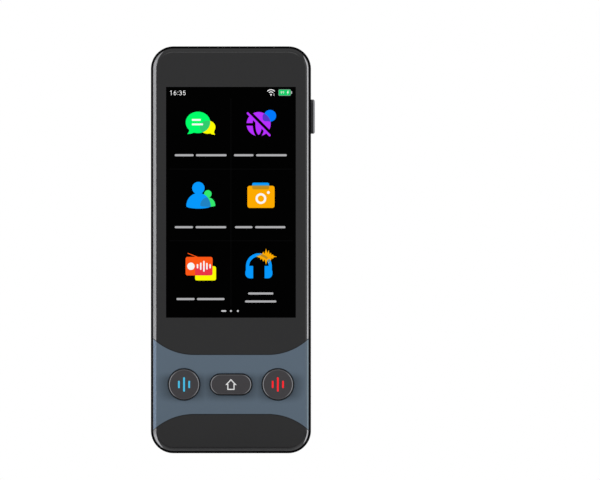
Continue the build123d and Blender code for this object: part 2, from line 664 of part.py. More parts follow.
def side_plate():
    """Sheet bracket that holds the side switch, with a leg at each end that stands on the frame's wall."""
    width = SIDE_KEY_HEIGHT + 2 * FLANGE_PLAY
    inside = SIDE_KEY_LENGTH + 2 * (SIDE_FLANGE_EAR + SIDE_PLATE_CLEARANCE)
    plate = Pos(SIDE_KEY_Y, SIDE_KEY_Z) * Rectangle(width, inside + 2 * SIDE_PLATE_LEG)
    legs = plate - Pos(SIDE_KEY_Y, SIDE_KEY_Z) * Rectangle(width, inside)
    bracket = bar(plate, SIDE_PLATE_X - SIDE_PLATE_THICKNESS, SIDE_PLATE_X)
    return bracket + bar(legs, SIDE_PLATE_X, INNER_HALF)


# ---- Display stack -------------------------------------------------------------------------------
def display_plate():
    """Sheet plate behind the display, with ears that rest on the frame's ribs and pads for the board."""
    plate = slab(lcd_outline(), PLATE_FRONT_Y, PLATE_REAR_Y)
    reach = INNER_HALF - RIB_FIT
    for height in EAR_HEIGHTS:
        ear = front_rectangle(2 * reach, height - PLATE_EAR_LENGTH / 2, height + PLATE_EAR_LENGTH / 2)
        plate += slab(ear, PLATE_FRONT_Y, PLATE_REAR_Y)
    return plate + board_pads((LCD_BOTTOM + PAD_INSET, LCD_TOP - PAD_INSET), PLATE_REAR_Y)


def backlight():
    """Light guide behind the display glass, which leaves the glass's lower ledge free."""
    return slab(front_rectangle(LCD_WIDTH, LCD_BOTTOM + LCD_LEDGE, LCD_TOP), LCD_REAR_Y, PLATE_FRONT_Y)


def display_flex():
    """Ribbon from the glass's lower ledge, down and back into its connector on the board."""
    start = (LCD_REAR_Y + FLEX_THICKNESS / 2, LCD_BOTTOM + LCD_LEDGE - FLEX_THICKNESS)
    path = FilletPolyline(start, (start[0], CONNECTOR_Z), (CONNECTOR_FRONT_Y, CONNECTOR_Z), radius=FLEX_BEND)
    ribbon = Sketch() + trace(path, line_width=FLEX_THICKNESS)
    return bar(ribbon, -FLEX_WIDTH / 2, FLEX_WIDTH / 2)


def display_connector():
    """Board connector that takes the display's ribbon."""
    outline = Pos(0, CONNECTOR_Z) * Rectangle(FLEX_WIDTH + 2 * CONNECTOR_BORDER, CONNECTOR_LENGTH)
    return slab(outline, CONNECTOR_FRONT_Y, BOARD_FRONT_Y)


# ---- Board ---------------------------------------------------------------------------------------
def main_board():
    """Circuit board with rounded corners and a notch that the USB-C receptacle sinks into."""
    outline = front_rectangle(2 * BOARD_HALF, BOARD_BOTTOM, BOARD_TOP, BOARD_CORNER)
    notch_half = USB_WIDTH / 2 + USB_FIT
    outline -= front_rectangle(2 * notch_half, 0, USB_RECESS + USB_LENGTH + USB_FIT)
    return slab(outline, BOARD_FRONT_Y, BOARD_REAR_Y)


def shield_can(side):
    """Folded sheet lid over the chips beside the camera."""
    inner = CAMERA_SIZE / 2 + CAN_CAMERA_GAP
    middle = Pos(side * (inner + CAN_WIDTH / 2), CAMERA_Z)
    lid = slab(middle * Rectangle(CAN_WIDTH, CAN_LENGTH), BOARD_REAR_Y, BOARD_REAR_Y + CAN_HEIGHT)
    lid = fillet(lid.edges().filter_by(Axis.Y), CAN_SHEET * 2)
    room = middle * Rectangle(CAN_WIDTH - 2 * CAN_SHEET, CAN_LENGTH - 2 * CAN_SHEET)
    return lid - slab(room, BOARD_REAR_Y, BOARD_REAR_Y + CAN_HEIGHT - CAN_SHEET)


def chip(side):
    """Chip under a shield can."""
    middle = Pos(side * (CAMERA_SIZE / 2 + CAN_CAMERA_GAP + CAN_WIDTH / 2), CAMERA_Z)
    return slab(middle * Rectangle(CHIP_SIZE, CHIP_SIZE), BOARD_REAR_Y, BOARD_REAR_Y + CHIP_HEIGHT)


def microphone(inner_end, way):
    """Microphone near one end of the board; way is -1 at the bottom and 1 at the top."""
    outer = inner_end - way * MIC_EDGE
    span = sorted((outer, outer - way * MIC_LENGTH))
    across = (MIC_OFFSET - MIC_WIDTH / 2, MIC_OFFSET + MIC_WIDTH / 2)
    return block(across, (BOARD_REAR_Y, BOARD_REAR_Y + MIC_HEIGHT), span)


def microphone_seal(inner_end, wall, way):
    """Rubber boot that leads the sound from the hole in the frame to the microphone."""
    span = sorted((inner_end - way * MIC_EDGE, wall))
    across = (MIC_OFFSET - SEAL_WIDTH / 2, MIC_OFFSET + SEAL_WIDTH / 2)
    boot = block(across, (BOARD_REAR_Y, BOARD_REAR_Y + SEAL_HEIGHT), span)
    return boot - column(Pos(MIC_OFFSET, MIC_Y) * Circle(SEAL_BORE / 2), *span)


def usb_c_shell():
    """Metal shell of the receptacle, with a soldering wing at each side."""
    top = USB_RECESS + USB_LENGTH
    shell = column(usb_section() - usb_section(-USB_SHEET), USB_RECESS, top)
    side = USB_WIDTH / 2
    wing = block((side - USB_SHEET, side + WING_WIDTH), (BOARD_REAR_Y, BOARD_REAR_Y + USB_SHEET),
                 (top - 2 * WING_LENGTH, top - WING_LENGTH))
    return shell + [piece - column(usb_section(-USB_SHEET), USB_RECESS, top) for piece in both_sides(wing)]


def usb_c_tongue():
    """Insulator that closes the receptacle's rear and carries the contact tongue."""
    top = USB_RECESS + USB_LENGTH
    base = column(usb_section(-USB_SHEET), top - USB_BASE, top)
    half_x = TONGUE_WIDTH / 2
    half_y = TONGUE_THICKNESS / 2
    return base + block((-half_x, half_x), (-half_y, half_y), (USB_RECESS + TONGUE_SETBACK, top - USB_BASE))


# ---- Battery -------------------------------------------------------------------------------------
def battery_pad(inset, front, rear):
    """Tape or foam sheet on one face of the battery cell."""
    outline = front_rectangle(BATTERY_WIDTH - 2 * inset, BATTERY_BOTTOM + inset, BATTERY_TOP - inset)
    return slab(outline, front, rear)


def battery_cell():
    """Pouch cell with soft edges."""
    cell = slab(front_rectangle(BATTERY_WIDTH, BATTERY_BOTTOM, BATTERY_TOP), CELL_FRONT_Y, CELL_REAR_Y)
    return fillet(cell.edges().filter_by(Axis.Z), BATTERY_EDGE)


def battery_board():
    """Protection board on the cell's upper end."""
    width = BATTERY_WIDTH - 4 * BATTERY_EDGE
    outline = front_rectangle(width, BATTERY_TOP, BATTERY_TOP + CELL_BOARD_LENGTH)
    return slab(outline, CELL_FRONT_Y, CELL_FRONT_Y + CELL_BOARD_HEIGHT)


def battery_connector():
    """Board connector for the battery."""
    low = BATTERY_TOP + CELL_BOARD_LENGTH + TAIL_LENGTH
    outline = front_rectangle(TAIL_WIDTH + 2 * CONNECTOR_BORDER, low, low + CONNECTOR_LENGTH)
    return slab(outline, BOARD_REAR_Y, BOARD_REAR_Y + CONNECTOR_HEIGHT)


def battery_tail():
    """Short flat lead from the battery's board to its connector."""
    low = BATTERY_TOP + CELL_BOARD_LENGTH
    outline = front_rectangle(TAIL_WIDTH, low, low + TAIL_LENGTH)
    return slab(outline, CELL_FRONT_Y, CELL_FRONT_Y + FLEX_THICKNESS)


def antenna():
    """Copper film on the inside of the rear cover."""
    low = CAMERA_Z - ANTENNA_BELOW_CAMERA
    film = front_rectangle(ANTENNA_WIDTH, low, low + ANTENNA_LENGTH)
    return slab(film, COVER_INNER_Y - ANTENNA_THICKNESS, COVER_INNER_Y)


# ---- Speaker -------------------------------------------------------------------------------------
def speaker_ring(border, front, rear):
    """Rectangular ring of the speaker's outline."""
    return slab(speaker_outline() - speaker_outline(-border), front, rear)


def speaker_basket():
    """Frame of the speaker with an open rear, narrowed where it holds the magnet."""
    floor = speaker_ring(MAGNET_INSET, BASKET_FRONT_Y, MAGNET_REAR_Y)
    return speaker_ring(BASKET_WALL, BASKET_FRONT_Y, BASKET_REAR_Y) + floor


def speaker_magnet():
    """Magnet can that fills the basket's floor and stands out in front of it."""
    can = slab(speaker_outline(-MAGNET_INSET), MAGNET_REAR_Y - MAGNET_DEPTH, MAGNET_REAR_Y)
    return fillet(can.edges().filter_by(Axis.Y), BASKET_WALL)


def speaker_surround():
    """Flexible roll round the diaphragm."""
    roll = speaker_outline(-BASKET_WALL) - speaker_outline(-BASKET_WALL - SURROUND_WIDTH)
    return slab(roll, BASKET_REAR_Y - SURROUND_THICKNESS, BASKET_REAR_Y)


def speaker_diaphragm():
    """Flat diaphragm with softened edges inside its surround."""
    level = BASKET_REAR_Y - SURROUND_THICKNESS
    return slab(speaker_outline(-BASKET_WALL - SURROUND_WIDTH), level, level + DIAPHRAGM_THICKNESS)


# ---- Camera --------------------------------------------------------------------------------------
def window_outline(grow=0.0):
    """Outline of the black camera window, off centre in its bezel."""
    size = WINDOW_SIZE + 2 * grow
    return Pos(-WINDOW_SHIFT, CAMERA_Z) * RectangleRounded(size, size, WINDOW_CORNER + grow)


def camera_bezel():
    """Raised surround: drafted, with a chamfered rim, a slope down to the window and a spigot below."""
    top = BACK_Y + BUMP_HEIGHT
    bump = loft_between(bump_outline(), BACK_Y, bump_outline(BUMP_DRAFT), top)
    bump = chamfer(bump.faces().sort_by(Axis.Y)[-1].edges(), BUMP_CHAMFER)
    bump += slab(bump_outline(SPIGOT_INSET), FLOOR_FRONT_Y, BACK_Y)
    bump -= slab(window_outline(WINDOW_FIT), FLOOR_REAR_Y, top)
    bump -= slab(Pos(0, CAMERA_Z) * Circle(APERTURE / 2), FLOOR_FRONT_Y, FLOOR_REAR_Y)
    low = (WINDOW_SIZE / 2 - WINDOW_SHIFT, top - WINDOW_RECESS)
    high = (BUMP_WIDTH / 2 - BUMP_DRAFT - 2 * BUMP_CHAMFER, top)
    corner = (low[0], top)
    slope = make_face([TangentArc(low, high, tangent=(1, 0)), Line(high, corner), Line(corner, low)])
    half = WINDOW_SIZE / 2
    return bump - column(slope, CAMERA_Z - half, CAMERA_Z + half)


def camera_window():
    """Black glass plate with a round opening for the lens."""
    front = BACK_Y + BUMP_HEIGHT - WINDOW_RECESS - WINDOW_THICKNESS
    opening = Pos(0, CAMERA_Z) * Circle(LENS_DIAMETER / 2 + SPIGOT_FIT)
    return slab(window_outline() - opening, front, front + WINDOW_THICKNESS)


def domed_disc(diameter, edge, crown, front):
    """Round glass with a crowned rear face, on the camera's axis."""
    radius = diameter / 2
    ball = (radius ** 2 + crown ** 2) / (2 * crown)
    disc = slab(Pos(0, CAMERA_Z) * Circle(radius), front, front + edge + crown)
    return disc & (Pos(0, front + edge + crown - ball, CAMERA_Z) * Sphere(ball))


def camera_body():
    """Square camera module on the board."""
    barrel_front = FLOOR_FRONT_Y - CAMERA_FOAM - BARREL_LENGTH
    outline = Pos(0, CAMERA_Z) * RectangleRounded(CAMERA_SIZE, CAMERA_SIZE, CAN_SHEET * 2)
    return slab(outline, BOARD_REAR_Y, barrel_front)


def camera_barrel():
    """Lens barrel with the recess of its front element."""
    rear = FLOOR_FRONT_Y - CAMERA_FOAM
    centre = Pos(0, CAMERA_Z)
    barrel = slab(centre * Circle(BARREL_DIAMETER / 2), rear - BARREL_LENGTH, rear)
    return barrel - slab(centre * Circle(ELEMENT_DIAMETER / 2), rear - LENS_EDGE - ELEMENT_RISE, rear)


def camera_foam():
    """Foam ring that seals the barrel against the bezel."""
    ring = Pos(0, CAMERA_Z) * (Circle(BARREL_DIAMETER / 2) - Circle(CAMERA_FOAM_BORE / 2))
    return slab(ring, FLOOR_FRONT_Y - CAMERA_FOAM, FLOOR_FRONT_Y)


# ---- All nodes -----------------------------------------------------------------------------------
def build_nodes():
    """Every separate piece of the translator, by node name."""
    nodes = {
        "side_frame": side_frame(),
        "display_window": display_window(),
        "key_band": key_band(),
        "chin_panel": chin_panel(),
        "rear_cover": rear_cover(),
        "display_window_tape": panel_tape(above_band(TAPE_INSET)),
        "key_band_tape": panel_tape(band_outline(-TAPE_INSET)),
        "chin_tape": panel_tape(below_band(TAPE_INSET)),
        "lcd_glass": slab(lcd_outline(), PANEL_REAR_Y, LCD_REAR_Y),
        "backlight": backlight(),
        "display_plate": display_plate(),
        "display_flex": display_flex(),
        "display_connector": display_connector(),
        "main_board": main_board(),
        "left_shield_can": shield_can(-1),
        "right_shield_can": shield_can(1),
        "processor_chip": chip(-1),
        "memory_chip": chip(1),
        "bottom_microphone": microphone(BOARD_BOTTOM, -1),
        "bottom_microphone_seal": microphone_seal(BOARD_BOTTOM, FRAME_WALL, -1),
        "top_microphone": microphone(BOARD_TOP, 1),
        "top_microphone_seal": microphone_seal(BOARD_TOP, BODY_HEIGHT - FRAME_WALL, 1),
        "usb_c_shell": usb_c_shell(),
        "usb_c_tongue": usb_c_tongue(),
        "battery_cell": battery_cell(),
        "battery_tape": battery_pad(FOAM_INSET, BOARD_REAR_Y, CELL_FRONT_Y),
        "battery_foam": battery_pad(FOAM_INSET, CELL_REAR_Y, COVER_INNER_Y),
        "battery_board": battery_board(),
        "battery_tail": battery_tail(),
        "battery_connector": battery_connector(),
        "antenna": antenna(),
        "grille_mesh": slab(speaker_outline(), GASKET_REAR_Y, COVER_INNER_Y),
        "speaker_gasket": speaker_ring(GASKET_BORDER, BASKET_REAR_Y, GASKET_REAR_Y),
        "speaker_basket": speaker_basket(),
        "speaker_magnet": speaker_magnet(),
        "speaker_surround": speaker_surround(),
        "speaker_diaphragm": speaker_diaphragm(),
        "camera_bezel": camera_bezel(),
        "camera_window": camera_window(),
        "camera_lens_cover": domed_disc(LENS_DIAMETER, LENS_EDGE, LENS_CROWN, FLOOR_REAR_Y),
        "camera_front_element": domed_disc(ELEMENT_DIAMETER, LENS_EDGE, ELEMENT_RISE,
                                           FLOOR_FRONT_Y - CAMERA_FOAM - LENS_EDGE - ELEMENT_RISE),
        "camera_foam": camera_foam(),
        "camera_barrel": camera_barrel(),
        "camera_body": camera_body(),
        "side_key": side_key(),
        "side_key_foot": side_foot(),
        "side_switch_dome": side_dome(),
        "side_switch_plate": side_plate(),
    }
    for name, place in KEY_PLACES.items():
        nodes[f"{name}_key"] = front_key(name)
        nodes[f"{name}_key_foot"] = front_foot(place)
        nodes[f"{name}_switch"] = front_switch(place)
    return nodes


os.makedirs("parts", exist_ok=True)
for node_name, shape in build_nodes().items():
    print(node_name, "volume", round(shape.volume, 1))
    export_step(shape.solid(), f"parts/{node_name}.step")
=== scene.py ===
# %% [markdown]
# # Dressing a handheld translator
# The translator is a slim bar with a display above a band of three buttons, and a camera and a loudspeaker
# on its back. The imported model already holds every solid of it, from the frame to the chips, so this lesson
# only gives each solid its finish and adds what is printed, plated or lit: the picture on the display, the
# marks on the buttons and the contacts in the socket. Everything is in metres. The device stands on z = 0
# and its front looks towards -Y.

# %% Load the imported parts
import json
import math

import bpy
import numpy as np
from mathutils import Matrix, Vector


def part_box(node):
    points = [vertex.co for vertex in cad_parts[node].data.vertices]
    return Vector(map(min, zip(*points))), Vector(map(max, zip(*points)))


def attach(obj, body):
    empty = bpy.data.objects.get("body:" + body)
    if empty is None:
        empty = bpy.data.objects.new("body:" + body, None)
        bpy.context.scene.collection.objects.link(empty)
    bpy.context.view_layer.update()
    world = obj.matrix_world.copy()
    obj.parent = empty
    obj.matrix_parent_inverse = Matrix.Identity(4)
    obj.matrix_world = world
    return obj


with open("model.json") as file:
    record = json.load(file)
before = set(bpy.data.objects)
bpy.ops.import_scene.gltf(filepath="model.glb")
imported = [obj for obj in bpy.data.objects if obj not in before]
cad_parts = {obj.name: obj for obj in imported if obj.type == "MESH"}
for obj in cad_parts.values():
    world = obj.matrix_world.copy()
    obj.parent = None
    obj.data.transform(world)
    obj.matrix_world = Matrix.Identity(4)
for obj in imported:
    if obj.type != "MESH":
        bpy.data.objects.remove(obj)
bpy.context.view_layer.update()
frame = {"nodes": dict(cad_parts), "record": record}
slot_of = {part["node"]: part["material_slot"] for part in frame["record"]["subparts"]}
MM = 0.001

# %% [markdown]
# ## A small kit for finishes
# A finish is a material made of nodes, so it holds at any distance and needs no picture files. Wiring each
# node by hand would hide the idea behind the typing. Small helpers keep it readable: one adds a node,
# typing in plain numbers and linking sockets, one does sums, and the others name a pattern each. Patterns
# read the object's own coordinates in metres, so a grain of 0.1 mm is a texture scale of 10,000, and it
# stays put when a part moves.

# %% Helpers that add nodes
def linear(red, green, blue):
    """A display colour, each part from 0 to 255, as the linear numbers that a shader takes."""
    shown = np.array([red, green, blue]) / 255
    bright = ((shown + 0.055) / 1.055) ** 2.4
    return (*np.where(shown <= 0.04045, shown / 12.92, bright).tolist(), 1.0)


def scaled(colour, factor):
    """A colour made so many times as bright."""
    return (*[part * factor for part in colour[:3]], 1.0)


def add(tree, kind, inputs=None, **settings):
    """Adds a node with its settings. An input that is a socket is linked, and any other is typed in."""
    made = tree.nodes.new(kind)
    for name, value in settings.items():
        setattr(made, name, value)
    for name, value in (inputs or {}).items():
        if isinstance(value, bpy.types.NodeSocket):
            tree.links.new(value, made.inputs[name])
        else:
            made.inputs[name].default_value = value
    return made


def calc(tree, operation, first, second=0.0, third=0.0):
    """The result of one sum on two or three numbers or sockets."""
    return add(tree, "ShaderNodeMath", {0: first, 1: second, 2: third}, operation=operation).outputs[0]


def ramp(tree, value, low, high, start=0.0, end=1.0, smooth=True):
    """Takes a value that runs from low to high to one that runs from start to end, and stops there."""
    kind = "SMOOTHSTEP" if smooth else "LINEAR"
    names = {"Value": value, "From Min": low, "From Max": high, "To Min": start, "To Max": end}
    return add(tree, "ShaderNodeMapRange", names, interpolation_type=kind).outputs["Result"]


def band(tree, value, rise, fall):
    """1 where a value lies between a ramp up and a ramp down, each given by its start and its end."""
    return calc(tree, "MULTIPLY", ramp(tree, value, *rise), ramp(tree, value, *fall, 1.0, 0.0))


def gloss(tree, pattern, low, high, top=0.7):
    """Roughness from low to high that follows a noise, whose values lie mostly between 0.3 and top."""
    return ramp(tree, pattern, 0.3, top, low, high, smooth=False)


def blend(tree, share, first, second):
    """Mixes two colours by a share. Inputs 6 and 7 and output 2 are the node's colours."""
    return add(tree, "ShaderNodeMix", {0: share, 6: first, 7: second}, data_type="RGBA").outputs[2]


def place(tree, stretch=(1.0, 1.0, 1.0), centre=(0.0, 0.0, 0.0)):
    """The object's own coordinates, measured from a centre and stretched along each axis."""
    coordinates = add(tree, "ShaderNodeTexCoord").outputs["Object"]
    moved = tuple(-c * s for c, s in zip(centre, stretch))
    names = {"Vector": coordinates, "Scale": stretch, "Location": moved}
    return add(tree, "ShaderNodeMapping", names).outputs[0]


def parts_of(tree, centre=(0.0, 0.0, 0.0)):
    """X, Y and Z of the place, measured from a centre."""
    return add(tree, "ShaderNodeSeparateXYZ", {0: place(tree, centre=centre)}).outputs


def noise(tree, size_mm, detail=3.0, stretch=(1.0, 1.0, 1.0)):
    """Cloudy noise from 0 to 1 whose features are about size_mm wide."""
    names = {"Vector": place(tree, stretch), "Scale": 1.0 / (size_mm * MM), "Detail": detail}
    return add(tree, "ShaderNodeTexNoise", names).outputs[0]


def cells(tree, size_mm, feature="F1"):
    """Distance from the middle, or from the edge, of rounded cells about size_mm wide."""
    names = {"Vector": place(tree), "Scale": 1.0 / (size_mm * MM)}
    return add(tree, "ShaderNodeTexVoronoi", names, feature=feature).outputs["Distance"]


def wave(tree, axis, pitch_mm):
    """A sine along an axis, from -1 to 1, with a crest every pitch_mm."""
    return calc(tree, "SINE", calc(tree, "MULTIPLY", axis, 2 * math.pi / (pitch_mm * MM)))


def relief(tree, height, depth_mm, strength=1.0):
    """A bump whose full height is depth_mm."""
    names = {"Height": height, "Distance": depth_mm * MM, "Strength": strength}
    return add(tree, "ShaderNodeBump", names).outputs[0]


def start_finish(name, **constants):
    """A new material, with the numbers that are the same all over typed into its shader."""
    material = bpy.data.materials.new(name)
    material.use_nodes = True
    shader = material.node_tree.nodes["Principled BSDF"]
    for socket, value in constants.items():
        shader.inputs[socket.replace("_", " ")].default_value = value
    return material, material.node_tree, shader


def join(tree, shader, **sockets):
    """Links what varies over the surface to the shader's sockets."""
    for socket, value in sockets.items():
        tree.links.new(value, shader.inputs[socket.replace("_", " ")])


def join_pattern(tree, shader, pattern, colour, darkest, depth_mm, roughness, spread):
    """Lets one noise drive the colour, the relief and the gloss of a finish together."""
    join(tree, shader, Base_Color=blend(tree, pattern, scaled(colour, darkest), colour),
         Normal=relief(tree, pattern, depth_mm),
         Roughness=gloss(tree, pattern, roughness - spread, roughness + spread))


finishes = {}
print("black 50 of 255 is", [round(part, 4) for part in linear(50, 50, 50)])

# %% [markdown]
# ## Moulded plastics
# The frame, the rear cover, the buttons and the small connectors are injection moulded. The steel of the
# mould is spark eroded or blasted, so the plastic comes out with a fine grain that scatters light, and the
# grain is never quite even. A cheap way is one colour with one roughness. Here a fine noise gives the grain
# its relief and its broken gloss, and a broad one shifts the tone by a few percent, which is what the eye
# reads as plastic.

# %% Grained plastics
def grained_plastic(name, colour, roughness, grain_mm, depth_mm, specular, drift=0.12,
                    second=None, plated=False):
    """Moulded plastic: fine grain in relief and gloss, and a slow drift in tone, in clouds 9 mm wide.

    A second colour may be laid over the first, by a share worked out from the place on the part. That colour
    may be worked out from the place too. Where it is plated, it is also metallic.
    """
    material, tree, shader = start_finish(name, Specular_IOR_Level=specular)
    slow = noise(tree, 9.0, 2.0)
    fine = noise(tree, grain_mm, 2.0)
    tone = blend(tree, slow, scaled(colour, 1 - drift), scaled(colour, 1 + drift))
    if second is not None:
        share_of, over = second
        share = share_of(tree)
        tone = blend(tree, share, tone, over(tree) if callable(over) else over)
        if plated:
            join(tree, shader, Metallic=share)
    join(tree, shader, Base_Color=tone, Roughness=gloss(tree, fine, roughness - 0.05, roughness + 0.05),
         Normal=relief(tree, fine, depth_mm))
    return material


finishes["connector_plastic"] = grained_plastic("connector plastic", linear(28, 28, 30), 0.5, 0.08,
                                                0.004, 0.4)
finishes["chip_resin"] = grained_plastic("chip resin", linear(30, 30, 32), 0.6, 0.05, 0.004, 0.35)
finishes["diaphragm_film"] = grained_plastic("pressed film", linear(35, 35, 38), 0.3, 0.5, 0.006, 0.5)
print(len(finishes), "moulded finishes")

# %% [markdown]
# ## Distances on a part
# Several finishes change with the distance to an outline: a painted shade round a button, and painted
# highlights on the rim of a cap and on the ring round the camera. One sum serves them all. Take the place's
# distance from the middle along each axis, less the straight half of the box. Where both are above zero the
# place is beyond a corner, and its distance is their hypotenuse less the corner's radius. A circle is a box
# whose straight halves are zero.

# %% Distance to a round-cornered box
def past(tree, value, limit):
    """How far a value is past a limit, and 0 before it."""
    return calc(tree, "MAXIMUM", calc(tree, "SUBTRACT", value, limit), 0.0)


def hypotenuse(tree, first, second):
    """Square root of the sum of two squares."""
    squares = calc(tree, "ADD", calc(tree, "POWER", first, 2.0), calc(tree, "POWER", second, 2.0))
    return calc(tree, "SQRT", squares)


def box_distance(tree, across, upward, half_width, half_height, corner):
    """How far a place lies outside a box with round corners, or inside it where negative. Sizes in mm."""
    over = [calc(tree, "SUBTRACT", calc(tree, "ABSOLUTE", way), (half - corner) * MM)
            for way, half in ((across, half_width), (upward, half_height))]
    outside = hypotenuse(tree, *[calc(tree, "MAXIMUM", way, 0.0) for way in over])
    inside = calc(tree, "MINIMUM", calc(tree, "MAXIMUM", over[0], over[1]), 0.0)
    return calc(tree, "SUBTRACT", calc(tree, "ADD", outside, inside), corner * MM)


def middle_of(name):
    """X, Y and Z of the middle of a solid's box."""
    return [sum(ends) / 2 for ends in zip(*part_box(name))]


FACE_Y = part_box("display_window")[0].y
RIM_Y = FACE_Y + 0.8 * MM  # the foot of the slope round the front panels
CAP_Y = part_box("home_key")[0].y
BAND_Z = middle_of("home_key")[2]
TALK_X = middle_of("right_talk_key")[0]
CAMERA_Z = middle_of("camera_lens_cover")[2]
TALK_HALF, HOME_HALF = (4.5, 4.5), (6.05, 2.95)  # half width and half height of the caps, in mm
print("front face at", round(FACE_Y / MM, 2), "mm, buttons at", round(BAND_Z / MM, 2), "mm")

# %% [markdown]
# ## Cover, frame and buttons
# The cover is charcoal, and its curved long sides are painted darker than the flat back, a painted shade.
# The frame is one moulding with two tones: a black lip in front, which outlines the panels, and walls behind
# it that are metallised to a satin grey. At the top end the slope towards the back is painted darker with
# half the metal, a painted shade, and at the bottom end that slope is painted lighter on its way down, a
# painted light. The caps of the buttons are satin, and a thin light line is painted on their rims at the
# left and right, a painted highlight. The side button has the same painted highlight along its outer edge.
# Each is a second colour laid over the first by a share that reads the place on the part.

# %% Cover, frame and button finishes
LIP_END = (RIM_Y + 0.8 * MM, RIM_Y + 1.0 * MM)  # over these depths the black lip turns into the walls
REAR_SLOPE = (3.5 * MM, 3.7 * MM)  # over these depths the frame's ends begin to slope towards the back
SLOPE_HEIGHTS = (0.1 * MM, 1.15 * MM)  # over these heights the slope at the bottom end changes its grey
# The two slope greys are painted light, lighter low on the bottom end's rear slope, where the floor shades it.
WALL_GREY, SLOPE_PAINTED_LIGHT, SLOPE_DARK = linear(108, 108, 111), linear(158, 158, 161), linear(88, 88, 90)
BACK_FLAT, BACK_FOOT = 17.6 * MM, 22.9 * MM  # where the cover's curved sides begin and where they end


def rear_slope_share(tree, height, above):
    """1 on the rear slope at one end of the frame, either above a height or below it."""
    x, y, z = parts_of(tree)
    at_end = ramp(tree, z, height, height + 0.3 * MM, 1.0 - above, 1.0 * above)
    return calc(tree, "MULTIPLY", ramp(tree, y, *REAR_SLOPE), at_end)


def wall_and_painted_shade_share(tree):
    """0 on the front lip and 1 on the walls, but half, as painted shade, on the rear slope of the top end."""
    # Painted shade: the top end's rear slope gets half the share.
    slope = rear_slope_share(tree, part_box("side_frame")[1].z - 2 * MM, above=True)
    walls = ramp(tree, parts_of(tree)["Y"], *LIP_END)
    return calc(tree, "MULTIPLY", walls, calc(tree, "MULTIPLY_ADD", slope, -0.5, 1.0))


def wall_grey_and_painted_light(tree):
    """The satin grey of the walls. Down the rear slope of the bottom end it is painted lighter, a painted
    light.
    """
    height = ramp(tree, parts_of(tree)["Z"], *SLOPE_HEIGHTS, smooth=False)
    slope = blend(tree, height, SLOPE_PAINTED_LIGHT, SLOPE_DARK)
    return blend(tree, rear_slope_share(tree, 1.4 * MM, above=False), WALL_GREY, slope)


def cap_rim_highlight_share(centre_x, half_width, half_height):
    """The share of a painted highlight on a cap, strongest at its left and right.

    It is a thin ring on the cap's rounded edge, from 0.3 mm inside its outline out to the outline.
    """
    def share(tree):
        x, y, z = parts_of(tree, (centre_x, 0.0, BAND_Z))
        edge = box_distance(tree, x, z, half_width, half_height, half_height)
        ring = band(tree, edge, (-0.3 * MM, -0.2 * MM), (-0.08 * MM, 0.02 * MM))
        aside = ramp(tree, calc(tree, "ABSOLUTE", x), (half_width - 2.6) * MM, (half_width - 0.6) * MM,
                     0.15, 1.0)
        return calc(tree, "MULTIPLY", ring, aside)
    return share


def outer_edge_highlight_share(tree):
    """1 on the rounded edge of the side button, between its flanks and its outer face, where a highlight is
    painted.
    """
    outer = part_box("side_key")[1].x
    return band(tree, parts_of(tree)["X"], (outer - 0.47 * MM, outer - 0.4 * MM),
                (outer - 0.1 * MM, outer - 0.04 * MM))


def side_shade_share(tree):
    """0 on the flat back of the cover, rising to 1 of painted shade towards the foot of its curved long sides.
    """
    return ramp(tree, calc(tree, "ABSOLUTE", parts_of(tree)["X"]), BACK_FLAT, BACK_FOOT, smooth=False)


# The light grey is a painted highlight on the caps' rims and on the side button's outer edge.
EDGE_HIGHLIGHT, CAP = linear(150, 150, 154), linear(55, 53, 56)
SATIN = (0.36, 0.14, 0.003, 0.3, 0.05)  # roughness, grain, its depth, specular level and drift of a button
# The cover's second colour is a painted shade on its curved long sides.
finishes["cover_plastic"] = grained_plastic("charcoal cover plastic", linear(47, 47, 49), 0.56, 0.12, 0.010,
                                            0.06, second=(side_shade_share, linear(19, 19, 20)))
finishes["frame_plastic"] = grained_plastic("frame plastic", linear(9, 9, 10), 0.45, 0.16, 0.003, 0.01,
                                            0.06, second=(wall_and_painted_shade_share, wall_grey_and_painted_light), plated=True)
# The side button carries a painted highlight along its outer edge.
finishes["key_plastic"] = grained_plastic("side button plastic", linear(40, 40, 42), *SATIN,
                                          second=(outer_edge_highlight_share, EDGE_HIGHLIGHT))
own_finish = {}
for name, centre, half in (("left_talk_key", -TALK_X, TALK_HALF), ("home_key", 0.0, HOME_HALF),
                           ("right_talk_key", TALK_X, TALK_HALF)):
    own_finish[name] = grained_plastic(name + " plastic", CAP, *SATIN,
                                       second=(cap_rim_highlight_share(centre, *half), EDGE_HIGHLIGHT))
print(len(own_finish), "caps have their own rims")

# %% [markdown]
# ## Front panels
# The three front panels are hard-coated plates whose edges slope down to the frame. On the flat the coat is
# smooth with a trace of orange peel. Along the two long edges the slope is painted bright, a painted
# highlight, and the coat ends in a black line at its foot. In each corner the painted highlight narrows to
# a point, as a reflection on a curve does. So the band lies where the depth down the slope, from 0 to 1, is
# more than a share that grows with the turn of the corner. In the two lower corners it is painted brighter.
# At the short ends the slope is painted a little lighter, a painted light. The key band's coat is painted
# darker beside its buttons, a painted shade, and along its two long edges runs a painted shadow, a thin dark
# line.

# %% The slope round the panels
CORNER_X, CORNER_LOW, CORNER_HIGH = 17.1 * MM, 6.7 * MM, 114.3 * MM  # where the corners turn round


def slope_share(tree):
    """0 on the flat front, rising to 1 at the foot of the slope."""
    return ramp(tree, parts_of(tree)["Y"], FACE_Y + 0.02 * MM, RIM_Y, smooth=False)


def corner_turn(tree):
    """0 along the long edges, rising to a quarter turn at the short ones."""
    x, y, z = parts_of(tree)
    beyond = calc(tree, "ADD", past(tree, z, CORNER_HIGH), past(tree, CORNER_LOW, z))
    return calc(tree, "ARCTAN2", beyond, past(tree, calc(tree, "ABSOLUTE", x), CORNER_X))


